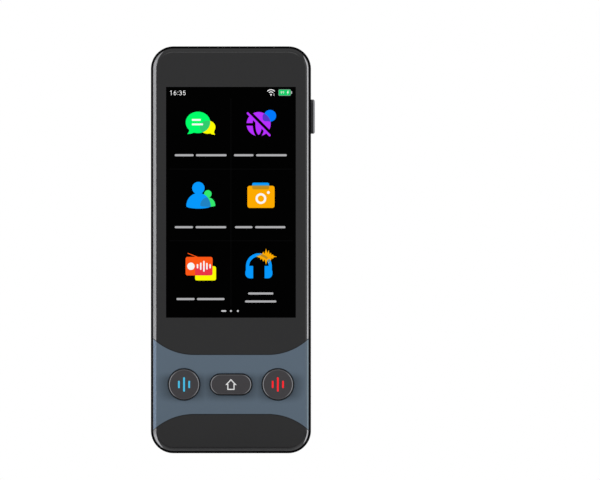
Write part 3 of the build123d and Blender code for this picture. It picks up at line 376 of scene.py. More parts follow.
def highlight_band_on_one_side(tree, start, stop, taper, power):
    """1 on a painted highlight from start to stop down the slope.

    The start grows to 1 as the corner turns through the taper, by the turned share raised to a power.
    """
    turned = calc(tree, "POWER", calc(tree, "DIVIDE", corner_turn(tree), math.radians(taper)), power)
    edge = calc(tree, "MULTIPLY_ADD", turned, 1 - start, start)
    depth = slope_share(tree)
    return calc(tree, "MULTIPLY", ramp(tree, calc(tree, "SUBTRACT", depth, edge), 0.01, 0.13),
                ramp(tree, depth, stop - 0.04, stop + 0.04, 1.0, 0.0))


def long_edge_highlight_share(tree):
    """1 on the painted highlight bands. The left one is broad, and the right one is narrow with a shorter
    taper.
    """
    on_right = calc(tree, "GREATER_THAN", parts_of(tree)["X"], 0.0)
    left = highlight_band_on_one_side(tree, 0.09, 0.9, 68.0, 2.0)
    right = highlight_band_on_one_side(tree, 0.43, 0.83, 48.0, 4.0)
    return calc(tree, "MULTIPLY_ADD", calc(tree, "SUBTRACT", right, left), on_right, left)


print("corners of the panels turn round x", CORNER_X / MM, "mm")

# %% Panel coats
# The second colour is the brighter painted highlight in the lower corners.
BLACK_LINE, LOW_PAINTED_HIGHLIGHT = linear(8, 8, 9), linear(198, 198, 201)


def button_shade_share(tree):
    """A painted shade, most beside the buttons, along a valley 0.9 mm below their middles.

    It fades out over 4.2 mm from a button's outline, and from 2.2 to 5.2 mm above and below the valley.
    """
    x, y, z = parts_of(tree, (0.0, 0.0, BAND_Z))
    aside = calc(tree, "SUBTRACT", calc(tree, "ABSOLUTE", x), TALK_X)
    talk = box_distance(tree, aside, z, *TALK_HALF, TALK_HALF[1])
    home = box_distance(tree, x, z, *HOME_HALF, HOME_HALF[1])
    near = ramp(tree, calc(tree, "MINIMUM", talk, home), 0.3 * MM, 4.2 * MM, 0.76, 0.0, smooth=False)
    across = calc(tree, "ABSOLUTE", calc(tree, "ADD", z, 0.9 * MM))
    return calc(tree, "MULTIPLY", near, ramp(tree, across, 2.2 * MM, 5.2 * MM, 1.0, 0.0))


# The key band's long edge: its distance from the middle, half of its straight part, and its arc's radius.
EDGE_LEVEL, EDGE_FLAT, EDGE_RADIUS = 8.925 * MM, 11.0 * MM, 17.645 * MM


def seam_shadow_share(tree):
    """1 on a painted shadow along the seams of the key band, a thin line along its two long sides.

    Each side is straight in the middle and turns away in an arc from there on. The distance from an arc is
    the distance from its middle less its radius, which holds for the straight part too when the place is
    measured from the nearer end of the straight.
    """
    x, y, z = parts_of(tree, (0.0, 0.0, BAND_Z))
    aside = past(tree, calc(tree, "ABSOLUTE", x), EDGE_FLAT)
    below = calc(tree, "SUBTRACT", EDGE_LEVEL + EDGE_RADIUS, calc(tree, "ABSOLUTE", z))
    inside = calc(tree, "SUBTRACT", hypotenuse(tree, aside, below), EDGE_RADIUS)
    return ramp(tree, inside, 0.12 * MM, 0.2 * MM, 1.0, 0.0)


def coated_panel(name, flat, low_edge, high_edge, long_edge, bright, button_shade=None, seam_shadow=None):
    """Hard-coated panel: orange peel on the flat, painted tones on the slopes, painted highlights on the long
    edges.

    The tone of the short ends takes over between 10 and 60 degrees of a corner's turn. The bright colour is
    a pair of painted highlights, for the left band and the right one. Both bands end in a brighter painted
    highlight in the corners at the bottom.
    """
    material, tree, shader = start_finish(name, Specular_IOR_Level=0.25)
    x, y, z = parts_of(tree)
    # The slopes at the short ends take painted light, the lower end lighter than the upper.
    height = ramp(tree, z, CORNER_LOW, CORNER_HIGH, smooth=False)
    at_ends = ramp(tree, corner_turn(tree), math.radians(10.0), math.radians(60.0))
    edge = blend(tree, at_ends, long_edge, blend(tree, height, low_edge, high_edge))
    colour = blend(tree, slope_share(tree), flat, edge)
    # Painted shade beside the buttons.
    if button_shade is not None:
        colour = blend(tree, button_shade_share(tree), colour, button_shade)
    # Painted highlights on the long edges, painted brighter in the two lower corners.
    low = ramp(tree, z, CORNER_LOW - 2.5 * MM, CORNER_LOW + 0.5 * MM, 1.0, 0.0)
    painted_highlight = blend(tree, low, blend(tree, calc(tree, "GREATER_THAN", x, 0.0), *bright), LOW_PAINTED_HIGHLIGHT)
    colour = blend(tree, long_edge_highlight_share(tree), colour, painted_highlight)
    colour = blend(tree, ramp(tree, slope_share(tree), 0.86, 0.95), colour, BLACK_LINE)
    # A painted shadow along the seams of the key band.
    if seam_shadow is not None:
        colour = blend(tree, seam_shadow_share(tree), colour, seam_shadow)
    join(tree, shader, Base_Color=colour, Roughness=gloss(tree, noise(tree, 14.0, 3.0), 0.09, 0.14),
         Normal=relief(tree, noise(tree, 1.6, 1.0), 0.0012))
    return material


BAND_BLUE = linear(89, 105, 120)
# The window's end-slope tones and both bright pairs are painted light; the key band's last two colours are a
# painted shade by the buttons and a painted shadow along its seams.
finishes["window_panel"] = coated_panel("dark panel coat", linear(31, 31, 32), linear(98, 98, 100),
                                        linear(46, 46, 47), linear(14, 14, 15),
                                        (linear(147, 147, 150), linear(192, 192, 195)))
finishes["band_panel"] = coated_panel("blue-grey panel coat", BAND_BLUE, BAND_BLUE, BAND_BLUE,
                                      linear(66, 80, 94), (linear(98, 121, 147), linear(122, 142, 155)),
                                      linear(46, 58, 68), linear(20, 23, 26))
print("panels have", finishes["window_panel"].name, "and", finishes["band_panel"].name)

# %% [markdown]
# ## Camera surround
# The surround is charcoal like the cover, with a painted highlight on the ring of its outer edge. The
# highlight is brightest at the side button's side, less bright at the other and faint at the top and bottom.
# Inside it, on one side, a hollow slope runs down to the glass. Its light and shade are painted: black near
# the glass, a highlight half way up and shade again under the ring, so its tone is a function of depth: one
# ramp up times one ramp down.

# %% Camera surround finish
BEZEL_OUTLINE = (8.0, 6.9, 2.35)  # half width, half height and corner radius of the surround, in mm


def bezel_finish(name):
    """Charcoal surround with a painted highlight on its ring and painted light and shade on its slope.

    The ring takes the outer 0.4 mm of the outline in the top 0.3 mm. Its painted highlight is full from 6.8
    mm beside the middle, and less than half as strong towards -X. The slope's painted highlight lies from 0.4
    to 0.1 mm under the top, and the plain charcoal outside it is 0.7 mm wide.
    """
    material, tree, shader = start_finish(name, Specular_IOR_Level=0.2)
    x, y, z = parts_of(tree, (0.0, 0.0, CAMERA_Z))
    edge = box_distance(tree, x, z, *BEZEL_OUTLINE)
    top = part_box("camera_bezel")[1].y
    high = ramp(tree, y, top - 0.36 * MM, top - 0.28 * MM)
    # The painted highlight on the ring.
    ring = calc(tree, "MULTIPLY", high, ramp(tree, edge, -0.44 * MM, -0.32 * MM))
    aside = ramp(tree, calc(tree, "ABSOLUTE", x), 5.0 * MM, 6.8 * MM, 0.05, 1.0)
    aside = calc(tree, "MULTIPLY", aside, ramp(tree, x, -1.0 * MM, 1.0 * MM, 0.4, 1.0))
    # Painted light half way down the slope, painted shade above and below it.
    painted_slope_light = band(tree, y, (top - 0.5 * MM, top - 0.36 * MM), (top - 0.26 * MM, top - 0.02 * MM))
    slope = blend(tree, painted_slope_light, linear(12, 12, 13), linear(73, 73, 75))
    outer = blend(tree, ramp(tree, edge, -0.75 * MM, -0.6 * MM), slope, linear(42, 42, 44))
    colour = blend(tree, calc(tree, "MULTIPLY", ring, aside), outer, linear(196, 196, 200))
    fine = noise(tree, 0.2, 2.0)
    join(tree, shader, Base_Color=colour, Roughness=gloss(tree, fine, 0.2, 0.3),
         Normal=relief(tree, fine, 0.002))
    return material


finishes["bezel_plastic"] = bezel_finish("camera surround plastic")
print("lens axis at", round(CAMERA_Z / MM, 2), "mm")

# %% [markdown]
# ## Glass
# There are three glasses here. The camera window is printed black on its inside, so it acts as a black
# mirror with no depth. The lens cover is looked through, and behind it the front element is strongly coated
# and shows as a black dome, with a painted violet reflection of its coat, deepest at its middle. The display
# glass lies under the window and shows only when the device is opened. All have faint marks of wiping in
# their gloss.

# %% Glass finishes
def printed_glass(name, colour, specular, roughness=0.03):
    """Glass printed black on its inside, with faint wiping marks in its gloss."""
    material, tree, shader = start_finish(name, Specular_IOR_Level=specular)
    wiped = noise(tree, 3.0, 4.0, stretch=(1.0, 1.0, 0.3))
    join(tree, shader, Base_Color=blend(tree, wiped, colour, scaled(colour, 1.6)),
         Roughness=gloss(tree, wiped, roughness, roughness + 0.03, top=0.8))
    return material


def lens_share(tree, inner, outer):
    """0 on the lens's axis and 1 beyond a circle round it."""
    x, y, z = parts_of(tree, (0.0, 0.0, CAMERA_Z))
    return ramp(tree, hypotenuse(tree, x, z), inner * MM, outer * MM)


def clear_cover(name):
    """Clear glass with a weak anti-reflection cast, tinted slightly towards its rim."""
    material, tree, shader = start_finish(name, Transmission_Weight=1.0, IOR=1.1)
    tone = blend(tree, lens_share(tree, 1.2, 2.3), (0.98, 0.97, 1.0, 1.0), (0.7, 0.66, 0.85, 1.0))
    join(tree, shader, Base_Color=tone, Roughness=gloss(tree, noise(tree, 1.0), 0.0, 0.02, top=0.8))
    return material


def coated_dome(name):
    """Nearly black glass dome with a painted violet reflection of its coat on the axis, blue-black at the rim.
    """
    material, tree, shader = start_finish(name, Specular_IOR_Level=0.08)
    tone = blend(tree, lens_share(tree, 0.2, 1.2), linear(30, 22, 62), linear(3, 3, 8))
    join(tree, shader, Base_Color=tone, Roughness=gloss(tree, noise(tree, 0.6), 0.03, 0.07, top=0.8))
    return material


finishes["black_glass"] = printed_glass("black printed glass", linear(5, 5, 6), 0.04)
finishes["panel_glass"] = printed_glass("display glass", linear(10, 10, 14), 0.4, 0.05)
finishes["clear_glass"] = clear_cover("clear lens cover glass")
own_finish["camera_front_element"] = coated_dome("coated front element")
print(len(finishes), "finishes by slot,", len(own_finish), "by part")

# %% [markdown]
# ## Soft and matt sheet goods
# Tape, foam, rubber and the woven mesh behind the grille are soft, and each scatters light in its own way.
# Foam shows closed cells, which a cell texture gives: the distance to the nearest cell edge is nothing at
# the edge and most inside. The mesh is two sets of threads at right angles. A sine across each axis gives
# the threads, and the higher of the two wins where they cross. Rubber and tape only need a soft broken
# gloss.

# %% Soft finishes
def foam_finish(name, colour, cell_mm):
    """Closed-cell foam: a low dome in each cell."""
    material, tree, shader = start_finish(name, Roughness=0.85, Specular_IOR_Level=0.2)
    edge = cells(tree, cell_mm, "DISTANCE_TO_EDGE")
    dome = ramp(tree, edge, 0.0, 0.4)
    join(tree, shader, Base_Color=blend(tree, dome, scaled(colour, 0.45), colour),
         Normal=relief(tree, dome, 0.05))
    return material


def woven_finish(name, colour, pitch_mm):
    """Plain-woven mesh: threads along both axes, with dark gaps between them."""
    material, tree, shader = start_finish(name, Roughness=0.6, Specular_IOR_Level=0.35)
    x, y, z = parts_of(tree)
    top = calc(tree, "MAXIMUM", wave(tree, x, pitch_mm), wave(tree, z, pitch_mm))
    share = ramp(tree, top, -0.2, 0.8)
    join(tree, shader, Base_Color=blend(tree, share, (0.0008, 0.0008, 0.0008, 1.0), colour),
         Normal=relief(tree, share, 0.03))
    return material


def dull_sheet(name, colour, roughness, mottle_mm, stretch=(1.0, 1.0, 1.0)):
    """Rubber, tape and light guide: soft broken gloss with a slight mottle."""
    material, tree, shader = start_finish(name, Specular_IOR_Level=0.3)
    join_pattern(tree, shader, noise(tree, mottle_mm, 4.0, stretch), colour, 0.8, 0.008, roughness, 0.08)
    return material


finishes["foam"] = foam_finish("closed-cell foam", linear(48, 48, 52), 0.25)
finishes["mesh_fabric"] = woven_finish("black acoustic mesh", linear(30, 30, 32), 0.12)
finishes["rubber_black"] = dull_sheet("soft black rubber", linear(26, 26, 28), 0.7, 0.3)
finishes["tape"] = dull_sheet("black adhesive tape", linear(24, 24, 26), 0.55, 0.5, (1.0, 1.0, 0.15))
finishes["white_plastic"] = dull_sheet("white light guide", linear(226, 229, 231), 0.4, 1.2)
print(len(finishes), "finishes so far")

# %% [markdown]
# ## Metals and foil
# Shield cans, brackets and the display plate are stamped from rolled stainless sheet, so their fine lines
# run one way: the same noise stretched thirty times along the rolling direction. The battery's pouch is
# foil laminated with nylon and creases gently. Gilt cans have finer lines, the copper film's run across,
# and the plated magnet has an even mottle. A metal's colour is that of its reflection, and here one noise
# varies it together with the gloss and the relief.

# %% Metal finishes
def rolled_metal(name, colour, roughness, line_mm, along=(1.0, 1.0, 0.03)):
    """Rolled or plated metal with fine lines along one axis."""
    material, tree, shader = start_finish(name, Metallic=1.0)
    join_pattern(tree, shader, noise(tree, line_mm, 3.0, along), colour, 0.86, 0.002, roughness, 0.06)
    return material


def creased_foil(name, colour):
    """Laminated foil: broad shallow creases under a soft sheen."""
    material, tree, shader = start_finish(name, Metallic=0.85, Coat_Weight=0.3, Coat_Roughness=0.2)
    crease = calc(tree, "ABSOLUTE", calc(tree, "SUBTRACT", noise(tree, 5.0, 2.0), 0.5))
    fold = ramp(tree, crease, 0.0, 0.09)
    join(tree, shader, Base_Color=blend(tree, fold, scaled(colour, 0.9), colour),
         Normal=relief(tree, fold, 0.05, 0.6), Roughness=gloss(tree, noise(tree, 0.3), 0.3, 0.42))
    return material


finishes["stainless"] = rolled_metal("rolled stainless sheet", linear(178, 178, 182), 0.28, 0.2)
finishes["microphone_metal"] = rolled_metal("gilt can", linear(214, 178, 104), 0.24, 0.15)
finishes["copper"] = rolled_metal("copper film", linear(206, 124, 84), 0.3, 0.4, (0.05, 1.0, 1.0))
finishes["magnet_steel"] = rolled_metal("plated magnet cup", linear(142, 145, 150), 0.35, 0.3,
                                        (1.0, 1.0, 1.0))
finishes["pouch"] = creased_foil("laminated foil pouch", linear(190, 192, 196))
print(len(finishes), "finishes so far")

# %% [markdown]
# ## Circuit board and ribbons
# The board's green mask lies over copper tracks, which show as slightly raised lighter lines, with plated
# holes between them. Tracks run straight and turn at right angles, so a brick pattern with thin joints
# looks more like them than any noise. The amber ribbons carry parallel tracks along their length.

# %% Board finishes
def masked_board(name, mask, track, plated):
    """Solder mask over copper tracks, with small plated holes."""
    material, tree, shader = start_finish(name, Roughness=0.38, Specular_IOR_Level=0.5)
    x, y, z = parts_of(tree)
    flat = add(tree, "ShaderNodeCombineXYZ", {0: x, 1: z}).outputs[0]
    names = {"Vector": flat, "Scale": 1.0, "Mortar Size": 0.09 * MM, "Mortar Smooth": 0.3,
             "Brick Width": 4.1 * MM, "Row Height": 0.63 * MM}
    tracks = add(tree, "ShaderNodeTexBrick", names).outputs["Fac"]
    holes = ramp(tree, cells(tree, 2.3), 0.10, 0.13, 1.0, 0.0)
    colour = blend(tree, holes, blend(tree, tracks, mask, track), plated)
    join(tree, shader, Base_Color=colour, Normal=relief(tree, calc(tree, "MAXIMUM", tracks, holes), 0.03),
         Metallic=holes)
    return material


def track_ribbon(name, film, copper):
    """Amber film with copper tracks that run along its length."""
    material, tree, shader = start_finish(name, Roughness=0.32, Specular_IOR_Level=0.5)
    share = ramp(tree, wave(tree, parts_of(tree)["X"], 0.5), -0.1, 0.3)
    join(tree, shader, Base_Color=blend(tree, share, film, copper), Normal=relief(tree, share, 0.02))
    return material


finishes["circuit_board"] = masked_board("green masked board", linear(16, 66, 48), linear(34, 104, 74),
                                         linear(212, 176, 96))
finishes["polyimide"] = track_ribbon("amber ribbon", linear(150, 84, 22), linear(196, 128, 58))
print(len(finishes), "finishes for", len(set(slot_of.values())), "material slots")

# %% Give each solid its finish
for name, solid in frame["nodes"].items():
    for holder in solid.material_slots:
        holder.material = own_finish.get(name, finishes[slot_of[name]])
print("no finish for", sorted(set(slot_of.values()) - set(finishes)) or "none")

# %% [markdown]
# ## Thin printed and lit shapes
# The picture on the display and the marks on the buttons are flat shapes a few hundredths of a millimetre
# thick. Each could be an image, but an image has a size and blurs. Here each is a real thin plate, worked
# out from its outline: the outline carried straight back by its thickness, with a face at each end.
# Outlines are arrays of points in millimetres, seen from the front, with x to the right and z up.

# %% Outlines as arrays of points
ROUND = 72  # points round a curved outline
turn = np.linspace(0, 2 * np.pi, ROUND, endpoint=False)  # and their angles


def oval(centre, half_width, half_height, half_depth=None):
    """An ellipse: the cosine times the half width, and the sine times the half height.

    With a half depth, the lower half is that deep instead, which gives a bell with a curved foot.
    """
    heights = np.where(np.sin(turn) > 0, half_height, half_height if half_depth is None else half_depth)
    return np.array(centre) + np.stack([half_width * np.cos(turn), heights * np.sin(turn)], axis=1)


def soft_box(low, high, corner):
    """A box with round corners: a circle of their radius, each quarter pushed out to its own corner."""
    low, high = np.array(low), np.array(high)
    directions = np.stack([np.cos(turn + np.pi / ROUND), np.sin(turn + np.pi / ROUND)], axis=1)
    return (low + high) / 2 + np.sign(directions) * ((high - low) / 2 - corner) + directions * corner


def capsule(start, end, width):
    """A line with round ends: a circle of half its width, cut in two and each half pushed to its own end."""
    start, end = np.array(start, float), np.array(end, float)
    along = (end - start) / np.linalg.norm(end - start)
    across = np.array([-along[1], along[0]])
    angles = turn + np.pi / ROUND
    circle = np.outer(np.cos(angles), along) + np.outer(np.sin(angles), across)
    return np.where(np.cos(angles)[:, None] > 0, end, start) + circle * width / 2


def arc(centre, half_width, half_height, first, last, steps=14):
    """Part of an ellipse as an open path, between two angles in degrees."""
    angles = np.radians(np.linspace(first, last, steps))
    return np.array(centre) + np.stack([half_width * np.cos(angles), half_height * np.sin(angles)], axis=1)


print("outlines have", ROUND, "points")

# %% Outlines made from two others
def reach(middle, outline, directions):
    """How far it is from a point inside an outline to its edge, in each direction.

    For every direction d and every side from p to q, the ray and the side meet where
    middle + t d = p + s (q - p). The crossing counts where 0 <= s <= 1 and t > 0, and the nearest is kept.
    """
    p = outline - np.array(middle)
    side = np.roll(p, -1, axis=0) - p
    d = directions[:, None, :]
    bottom = d[..., 0] * side[:, 1] - d[..., 1] * side[:, 0]
    bottom = np.where(np.abs(bottom) < 1e-12, 1e-12, bottom)
    t = (p[:, 0] * side[:, 1] - p[:, 1] * side[:, 0]) / bottom
    s = (p[:, 0] * d[..., 1] - p[:, 1] * d[..., 0]) / bottom
    return np.where((s > -1e-9) & (s < 1 + 1e-9) & (t > 0), t, np.inf).min(axis=1)


def combine(choose, middle, first, second):
    """An outline round a point inside both: in each direction the edge that choose picks.

    The directions are even ones and those of both outlines' own points, so that sharp corners stay.
    """
    first, second = np.array(first, float), np.array(second, float)
    own = np.concatenate([first, second]) - np.array(middle)
    angles = np.unique(np.concatenate([turn, np.arctan2(own[:, 1], own[:, 0]) % (2 * np.pi)]).round(4))
    directions = np.stack([np.cos(angles), np.sin(angles)], axis=1)
    distances = choose(reach(middle, first, directions), reach(middle, second, directions))
    return np.array(middle) + directions * distances[:, None]


def merged(middle, first, second):
    """Two outlines as one: in each direction the further edge."""
    return combine(np.maximum, middle, first, second)


def shared(middle, first, second):
    """What two outlines share: in each direction the nearer edge."""
    return combine(np.minimum, middle, first, second)


sample = merged((0, 0), oval((0, 0), 1, 1), soft_box((-1, -1), (1, 0), 0.1))
print("a circle and a box merge to", len(sample), "points")

# %% From outlines to plates
STEP = 0.01 * MM  # one layer of print or light above the one below
SEAT = 0.03 * MM  # how far a plate is sunk into what carries it


def walls(front_row, rear_row):
    """Quads that join two closed rows of point numbers."""
    return np.stack([front_row, rear_row, np.roll(rear_row, -1), np.roll(front_row, -1)], axis=1).tolist()


def at_depth(outline, level):
    """The points of an outline in space, all at one depth."""
    return np.stack([outline[:, 0] * MM, np.full(len(outline), level), outline[:, 1] * MM], axis=1)


def plate(outline, front, rear):
    """A thin plate as points and faces: the outline at two depths, joined by a wall.

    The outline is first turned the way that makes its area positive, so that every face points outwards.
    """
    outline = np.array(outline, float)
    after = np.roll(outline, -1, axis=0)
    if (outline[:, 0] * after[:, 1] - outline[:, 1] * after[:, 0]).sum() < 0:
        outline = outline[::-1]
    rows = np.arange(2 * len(outline)).reshape(2, -1)
    faces = [rows[0].tolist(), rows[1][::-1].tolist()] + walls(*rows)
    return np.concatenate([at_depth(outline, front), at_depth(outline, rear)]), faces


def stripe(path, width, front, rear, closed=False):
    """A stripe of even width along a path, as points and faces.

    Each point moves sideways along the mean of its two sides' normals, by half the width over the cosine of
    half the bend, which keeps the width even round a corner. An open stripe is the plate whose outline runs
    up one side and down the other. A closed one is a ring with four rows of walls: front, inside, rear,
    outside.
    """
    path = np.array(path, float)
    step = np.roll(path, -1, axis=0) - path if closed else np.diff(path, axis=0)
    step /= np.linalg.norm(step, axis=1)[:, None]
    before = np.roll(step, 1, axis=0) if closed else np.concatenate([step[:1], step])
    after = step if closed else np.concatenate([step, step[-1:]])
    mean = before + after
    mean /= np.linalg.norm(mean, axis=1)[:, None]
    shift = np.stack([-mean[:, 1], mean[:, 0]], axis=1) * width / 2
    shift /= (mean * after).sum(axis=1)[:, None]
    if not closed:
        return plate(np.concatenate([path + shift, (path - shift)[::-1]]), front, rear)
    left, right = path + shift, path - shift
    points = [at_depth(left, front), at_depth(right, front), at_depth(right, rear), at_depth(left, rear)]
    rows = np.arange(4 * len(path)).reshape(4, -1)
    faces = [face for row in range(4) for face in walls(rows[row], rows[(row + 1) % 4])]
    return np.concatenate(points), faces


print("one layer is", STEP / MM, "mm")

# %% From plates to pieces
def make_piece(name, shapes, body):
    """One object from several shapes, each with its own finish. Its place is in its mesh."""
    points, faces, marks, materials, used = [], [], [], [], 0
    for (shape_points, shape_faces), finish in shapes:
        if finish not in materials:
            materials.append(finish)
        points.append(shape_points)
        faces += [[used + corner for corner in face] for face in shape_faces]
        marks += [materials.index(finish)] * len(shape_faces)
        used += len(shape_points)
    mesh = bpy.data.meshes.new(name)
    mesh.from_pydata(np.concatenate(points).tolist(), [], faces)
    for finish in materials:
        mesh.materials.append(finish)
    mesh.polygons.foreach_set("material_index", marks)
    mesh.update()
    piece = bpy.data.objects.new(name, mesh)
    bpy.context.scene.collection.objects.link(piece)
    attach(piece, body)
    print(name, "has", len(faces), "faces on", body)


print("a plate is sunk by", SEAT / MM, "mm")

# %% [markdown]
# ## Light from the display
# A display shows colour by its own light, so its finishes glow at strength 1, where a colour shows as it is
# written. Behind the light a fine grid of cells dims it a little at every joint, as on a real panel, and
# the backlight falls off slightly towards the lower edge. The dark picture itself is a sheet with hardly
# any gloss, because the real one is bonded to the glass without an air gap.

# %% Lit finishes
PICTURE_LOW, PICTURE_HIGH = (-19.3, 40.3), (19.3, 108.94)  # its lower left and upper right corners


def lit(name, colour):
    """A glowing colour behind a fine grid of display cells, a little dimmer at their joints and lower down."""
    material, tree, shader = start_finish(name, Base_Color=(0.0, 0.0, 0.0, 1.0), Roughness=0.3,
                                          Specular_IOR_Level=0.004, Emission_Strength=1.0)
    x, y, z = parts_of(tree)
    grid = calc(tree, "MULTIPLY", *[ramp(tree, wave(tree, axis, 0.11), -1.0, -0.7) for axis in (x, z)])
    height = ramp(tree, z, PICTURE_LOW[1] * MM, PICTURE_HIGH[1] * MM, 0.0, 0.5, smooth=False)
    share = calc(tree, "ADD", calc(tree, "MULTIPLY", grid, 0.5), height)
    join(tree, shader, Emission_Color=blend(tree, share, scaled(colour, 0.94), colour))
    return material


LIT_COLOURS = {
    "white": (250, 250, 250), "pale grey": (206, 206, 208), "label grey": (176, 176, 178),
    "faint grey": (14, 14, 15), "green": (0, 255, 106), "leaf green": (48, 206, 110),
    "mint": (52, 236, 112), "charge green": (22, 204, 106), "grey-green": (112, 150, 132),
    "yellow": (255, 255, 0), "amber": (196, 142, 28), "bronze": (186, 140, 40), "orange": (255, 172, 0),
    "coral": (255, 88, 22), "crimson": (238, 56, 70), "purple": (184, 48, 255), "violet": (88, 56, 200),
    "blue": (6, 154, 255), "sky blue": (0, 122, 255), "steel blue": (34, 132, 196),
}
LIT = {name: lit("lit " + name, linear(*tone)) for name, tone in LIT_COLOURS.items()}
LIT["black"] = lit("unlit black", linear(1, 1, 1))


def layer(number):
    """Depth of the front of a layer of the picture: 1 is the sheet, and each next one stands a step out."""
    return FACE_Y - number * STEP


def shape(outline, number, colour):
    """A lit plate on one layer of the picture."""
    return plate(outline, layer(number), FACE_Y + SEAT), LIT[colour]


def line(path, width, number, colour):
    """A lit stripe on one layer of the picture."""
    return stripe(path, width, layer(number), FACE_Y + SEAT), LIT[colour]


def on_display(name, shapes):
    """A piece of the picture."""
    make_piece(name, shapes, "device")


on_display("picture_sheet", [shape(soft_box(PICTURE_LOW, PICTURE_HIGH, 0.1), 1, "black")])

# %% [markdown]
# ## Pictograms
# Six tiles in two columns fill the picture. Their pictograms are plain signs drawn for this part: two
# speech bubbles, a crossed globe with a cloud, two people, a camera, a recorder and headphones. Where two
# colours overlap, the shared part has a darker mix, and where they only meet, a grey-green seam runs
# between them. The shared part could be cut out of both, but it is simpler to lay it on top as a third
# plate, whose outline is the nearer of the two edges in each direction.

# %% Speech bubbles
bubble_middle, reply_middle = (-9.8, 98.38), (-6.95, 96.98)
bubble_tail = [(-9.2, 99.0), (-12.35, 96.4), (-12.5, 95.6), (-12.98, 94.93), (-11.8, 95.05), (-10.6, 95.5)]
reply_tail = [(-7.2, 97.4), (-5.9, 94.9), (-4.72, 94.64), (-5.05, 95.45), (-4.85, 96.1)]
bubble = merged(bubble_middle, oval(bubble_middle, 3.65, 3.19), bubble_tail)
reply = merged(reply_middle, oval(reply_middle, 2.33, 1.97), reply_tail)
on_display("speech_pictogram", [
    shape(reply, 2, "yellow"),
    shape(bubble, 3, "green"),
    shape(shared((-7.3, 97.2), bubble, reply), 4, "leaf green"),
    shape(soft_box((-11.6, 98.86), (-9.0, 99.4), 0.12), 5, "white"),
    shape(soft_box((-11.6, 97.53), (-8.3, 98.07), 0.12), 5, "white"),
])

# %% Crossed globe with a cloud
globe_middle = (8.23, 97.9)
GLOBE, MERIDIAN = 3.58, 1.36  # half widths of the globe and of its two meridians
globe = oval(globe_middle, GLOBE, GLOBE)
cloud = merged((11.2, 100.3), oval((11.64, 100.36), 1.8, 1.74), soft_box((9.4, 98.72), (12.0, 101.1), 0.9))
on_display("globe_pictogram", [
    shape(cloud, 2, "sky blue"),
    shape(globe, 3, "purple"),
    shape(shared((10.4, 99.8), globe, cloud), 4, "violet"),
    line([(4.4, 97.79), (7.3, 97.79)], 0.8, 5, "black"),
    line(arc(globe_middle, MERIDIAN, GLOBE, 270, 162), 0.8, 6, "black"),
    line(arc(globe_middle, MERIDIAN, GLOBE, 270, 338), 0.76, 7, "black"),
    line([(5.9, 101.2), (12.4, 94.7)], 0.82, 8, "black"),
    shape(capsule((5.0, 101.1), (11.5, 94.55), 0.62), 9, "purple"),
])

# %% People
front_body = oval((-9.65, 73.5), 3.62, 3.9, 0.75)
rear_body = oval((-6.89, 73.66), 2.24, 2.45, 0.38)
on_display("people_pictogram", [
    shape(rear_body, 2, "mint"),
    shape(oval((-6.87, 77.12), 1.12, 1.12), 3, "mint"),
    shape(front_body, 4, "blue"),
    shape(shared((-7.6, 74.3), front_body, rear_body), 5, "steel blue"),
    shape(oval((-9.69, 78.86), 1.84, 1.84), 6, "blue"),
])

# %% Camera
case = soft_box((4.9, 72.96), (12.97, 79.52), 0.7)
hood = soft_box((6.32, 78.46), (11.36, 80.46), 0.5)
camera_eye = (8.91, 75.73)
on_display("camera_pictogram", [
    shape(hood, 2, "blue"),
    shape(case, 3, "orange"),
    shape(shared((8.85, 79.0), case, hood), 4, "amber"),
    line([(6.36, 79.61), (11.32, 79.61)], 0.28, 5, "grey-green"),
    shape(oval(camera_eye, 1.6, 1.6), 5, "white"),
    shape(oval(camera_eye, 0.95, 0.95), 6, "orange"),
    shape(oval((11.13, 77.53), 0.42, 0.42), 5, "white"),
])

# %% Recorder
card = soft_box((-10.66, 51.38), (-4.42, 55.62), 0.6)
recorder = soft_box((-13.48, 52.86), (-5.46, 58.39), 0.6)
RECORDER_Z = 55.6  # the height of its eye and of its level bars
levels = [(-9.94, 0.43), (-8.98, 0.86), (-8.04, 1.38), (-7.15, 0.76), (-6.19, 0.4)]
on_display("recorder_pictogram", [
    shape(card, 2, "yellow"),
    shape(recorder, 3, "coral"),
    shape(shared((-7.5, 54.2), recorder, card), 4, "crimson"),
    line([(-12.84, 59.46), (-9.9, 58.3)], 0.24, 2, "coral"),
    shape(oval((-11.9, RECORDER_Z), 1.1, 1.1), 5, "white"),
    *[shape(capsule((x, RECORDER_Z - half), (x, RECORDER_Z + half), 0.46), 5, "white")
      for x, half in levels],
])

# %% Headphones
HEAD_X, HEAD_Z, HOOP = 8.31, 55.6, 3.38  # the middle of the hoop and its radius
CUP_LOW, VOICE_Z = 52.02, 58.46


def on_hoop(first, last, steps=14):
    """Part of the hoop, between two angles in degrees."""
    return arc((HEAD_X, HEAD_Z), HOOP, HOOP, first, last, steps)


hoop = np.vstack([[(HEAD_X + HOOP, 54.4)], on_hoop(0, 180, 40), [(HEAD_X - HOOP, 54.4)]])
cups = []
for side in (-1, 1):
    flat, middle, outer = HEAD_X + side * np.array([1.71, 2.96, 4.02])
    shell = soft_box((min(flat, outer), CUP_LOW), (max(flat, outer), 55.2), 1.4)
    pad = soft_box((min(flat, middle), CUP_LOW), (max(flat, middle), 55.7), 0.12)
    cups.append(merged((HEAD_X + side * 2.3, 53.6), shell, pad))
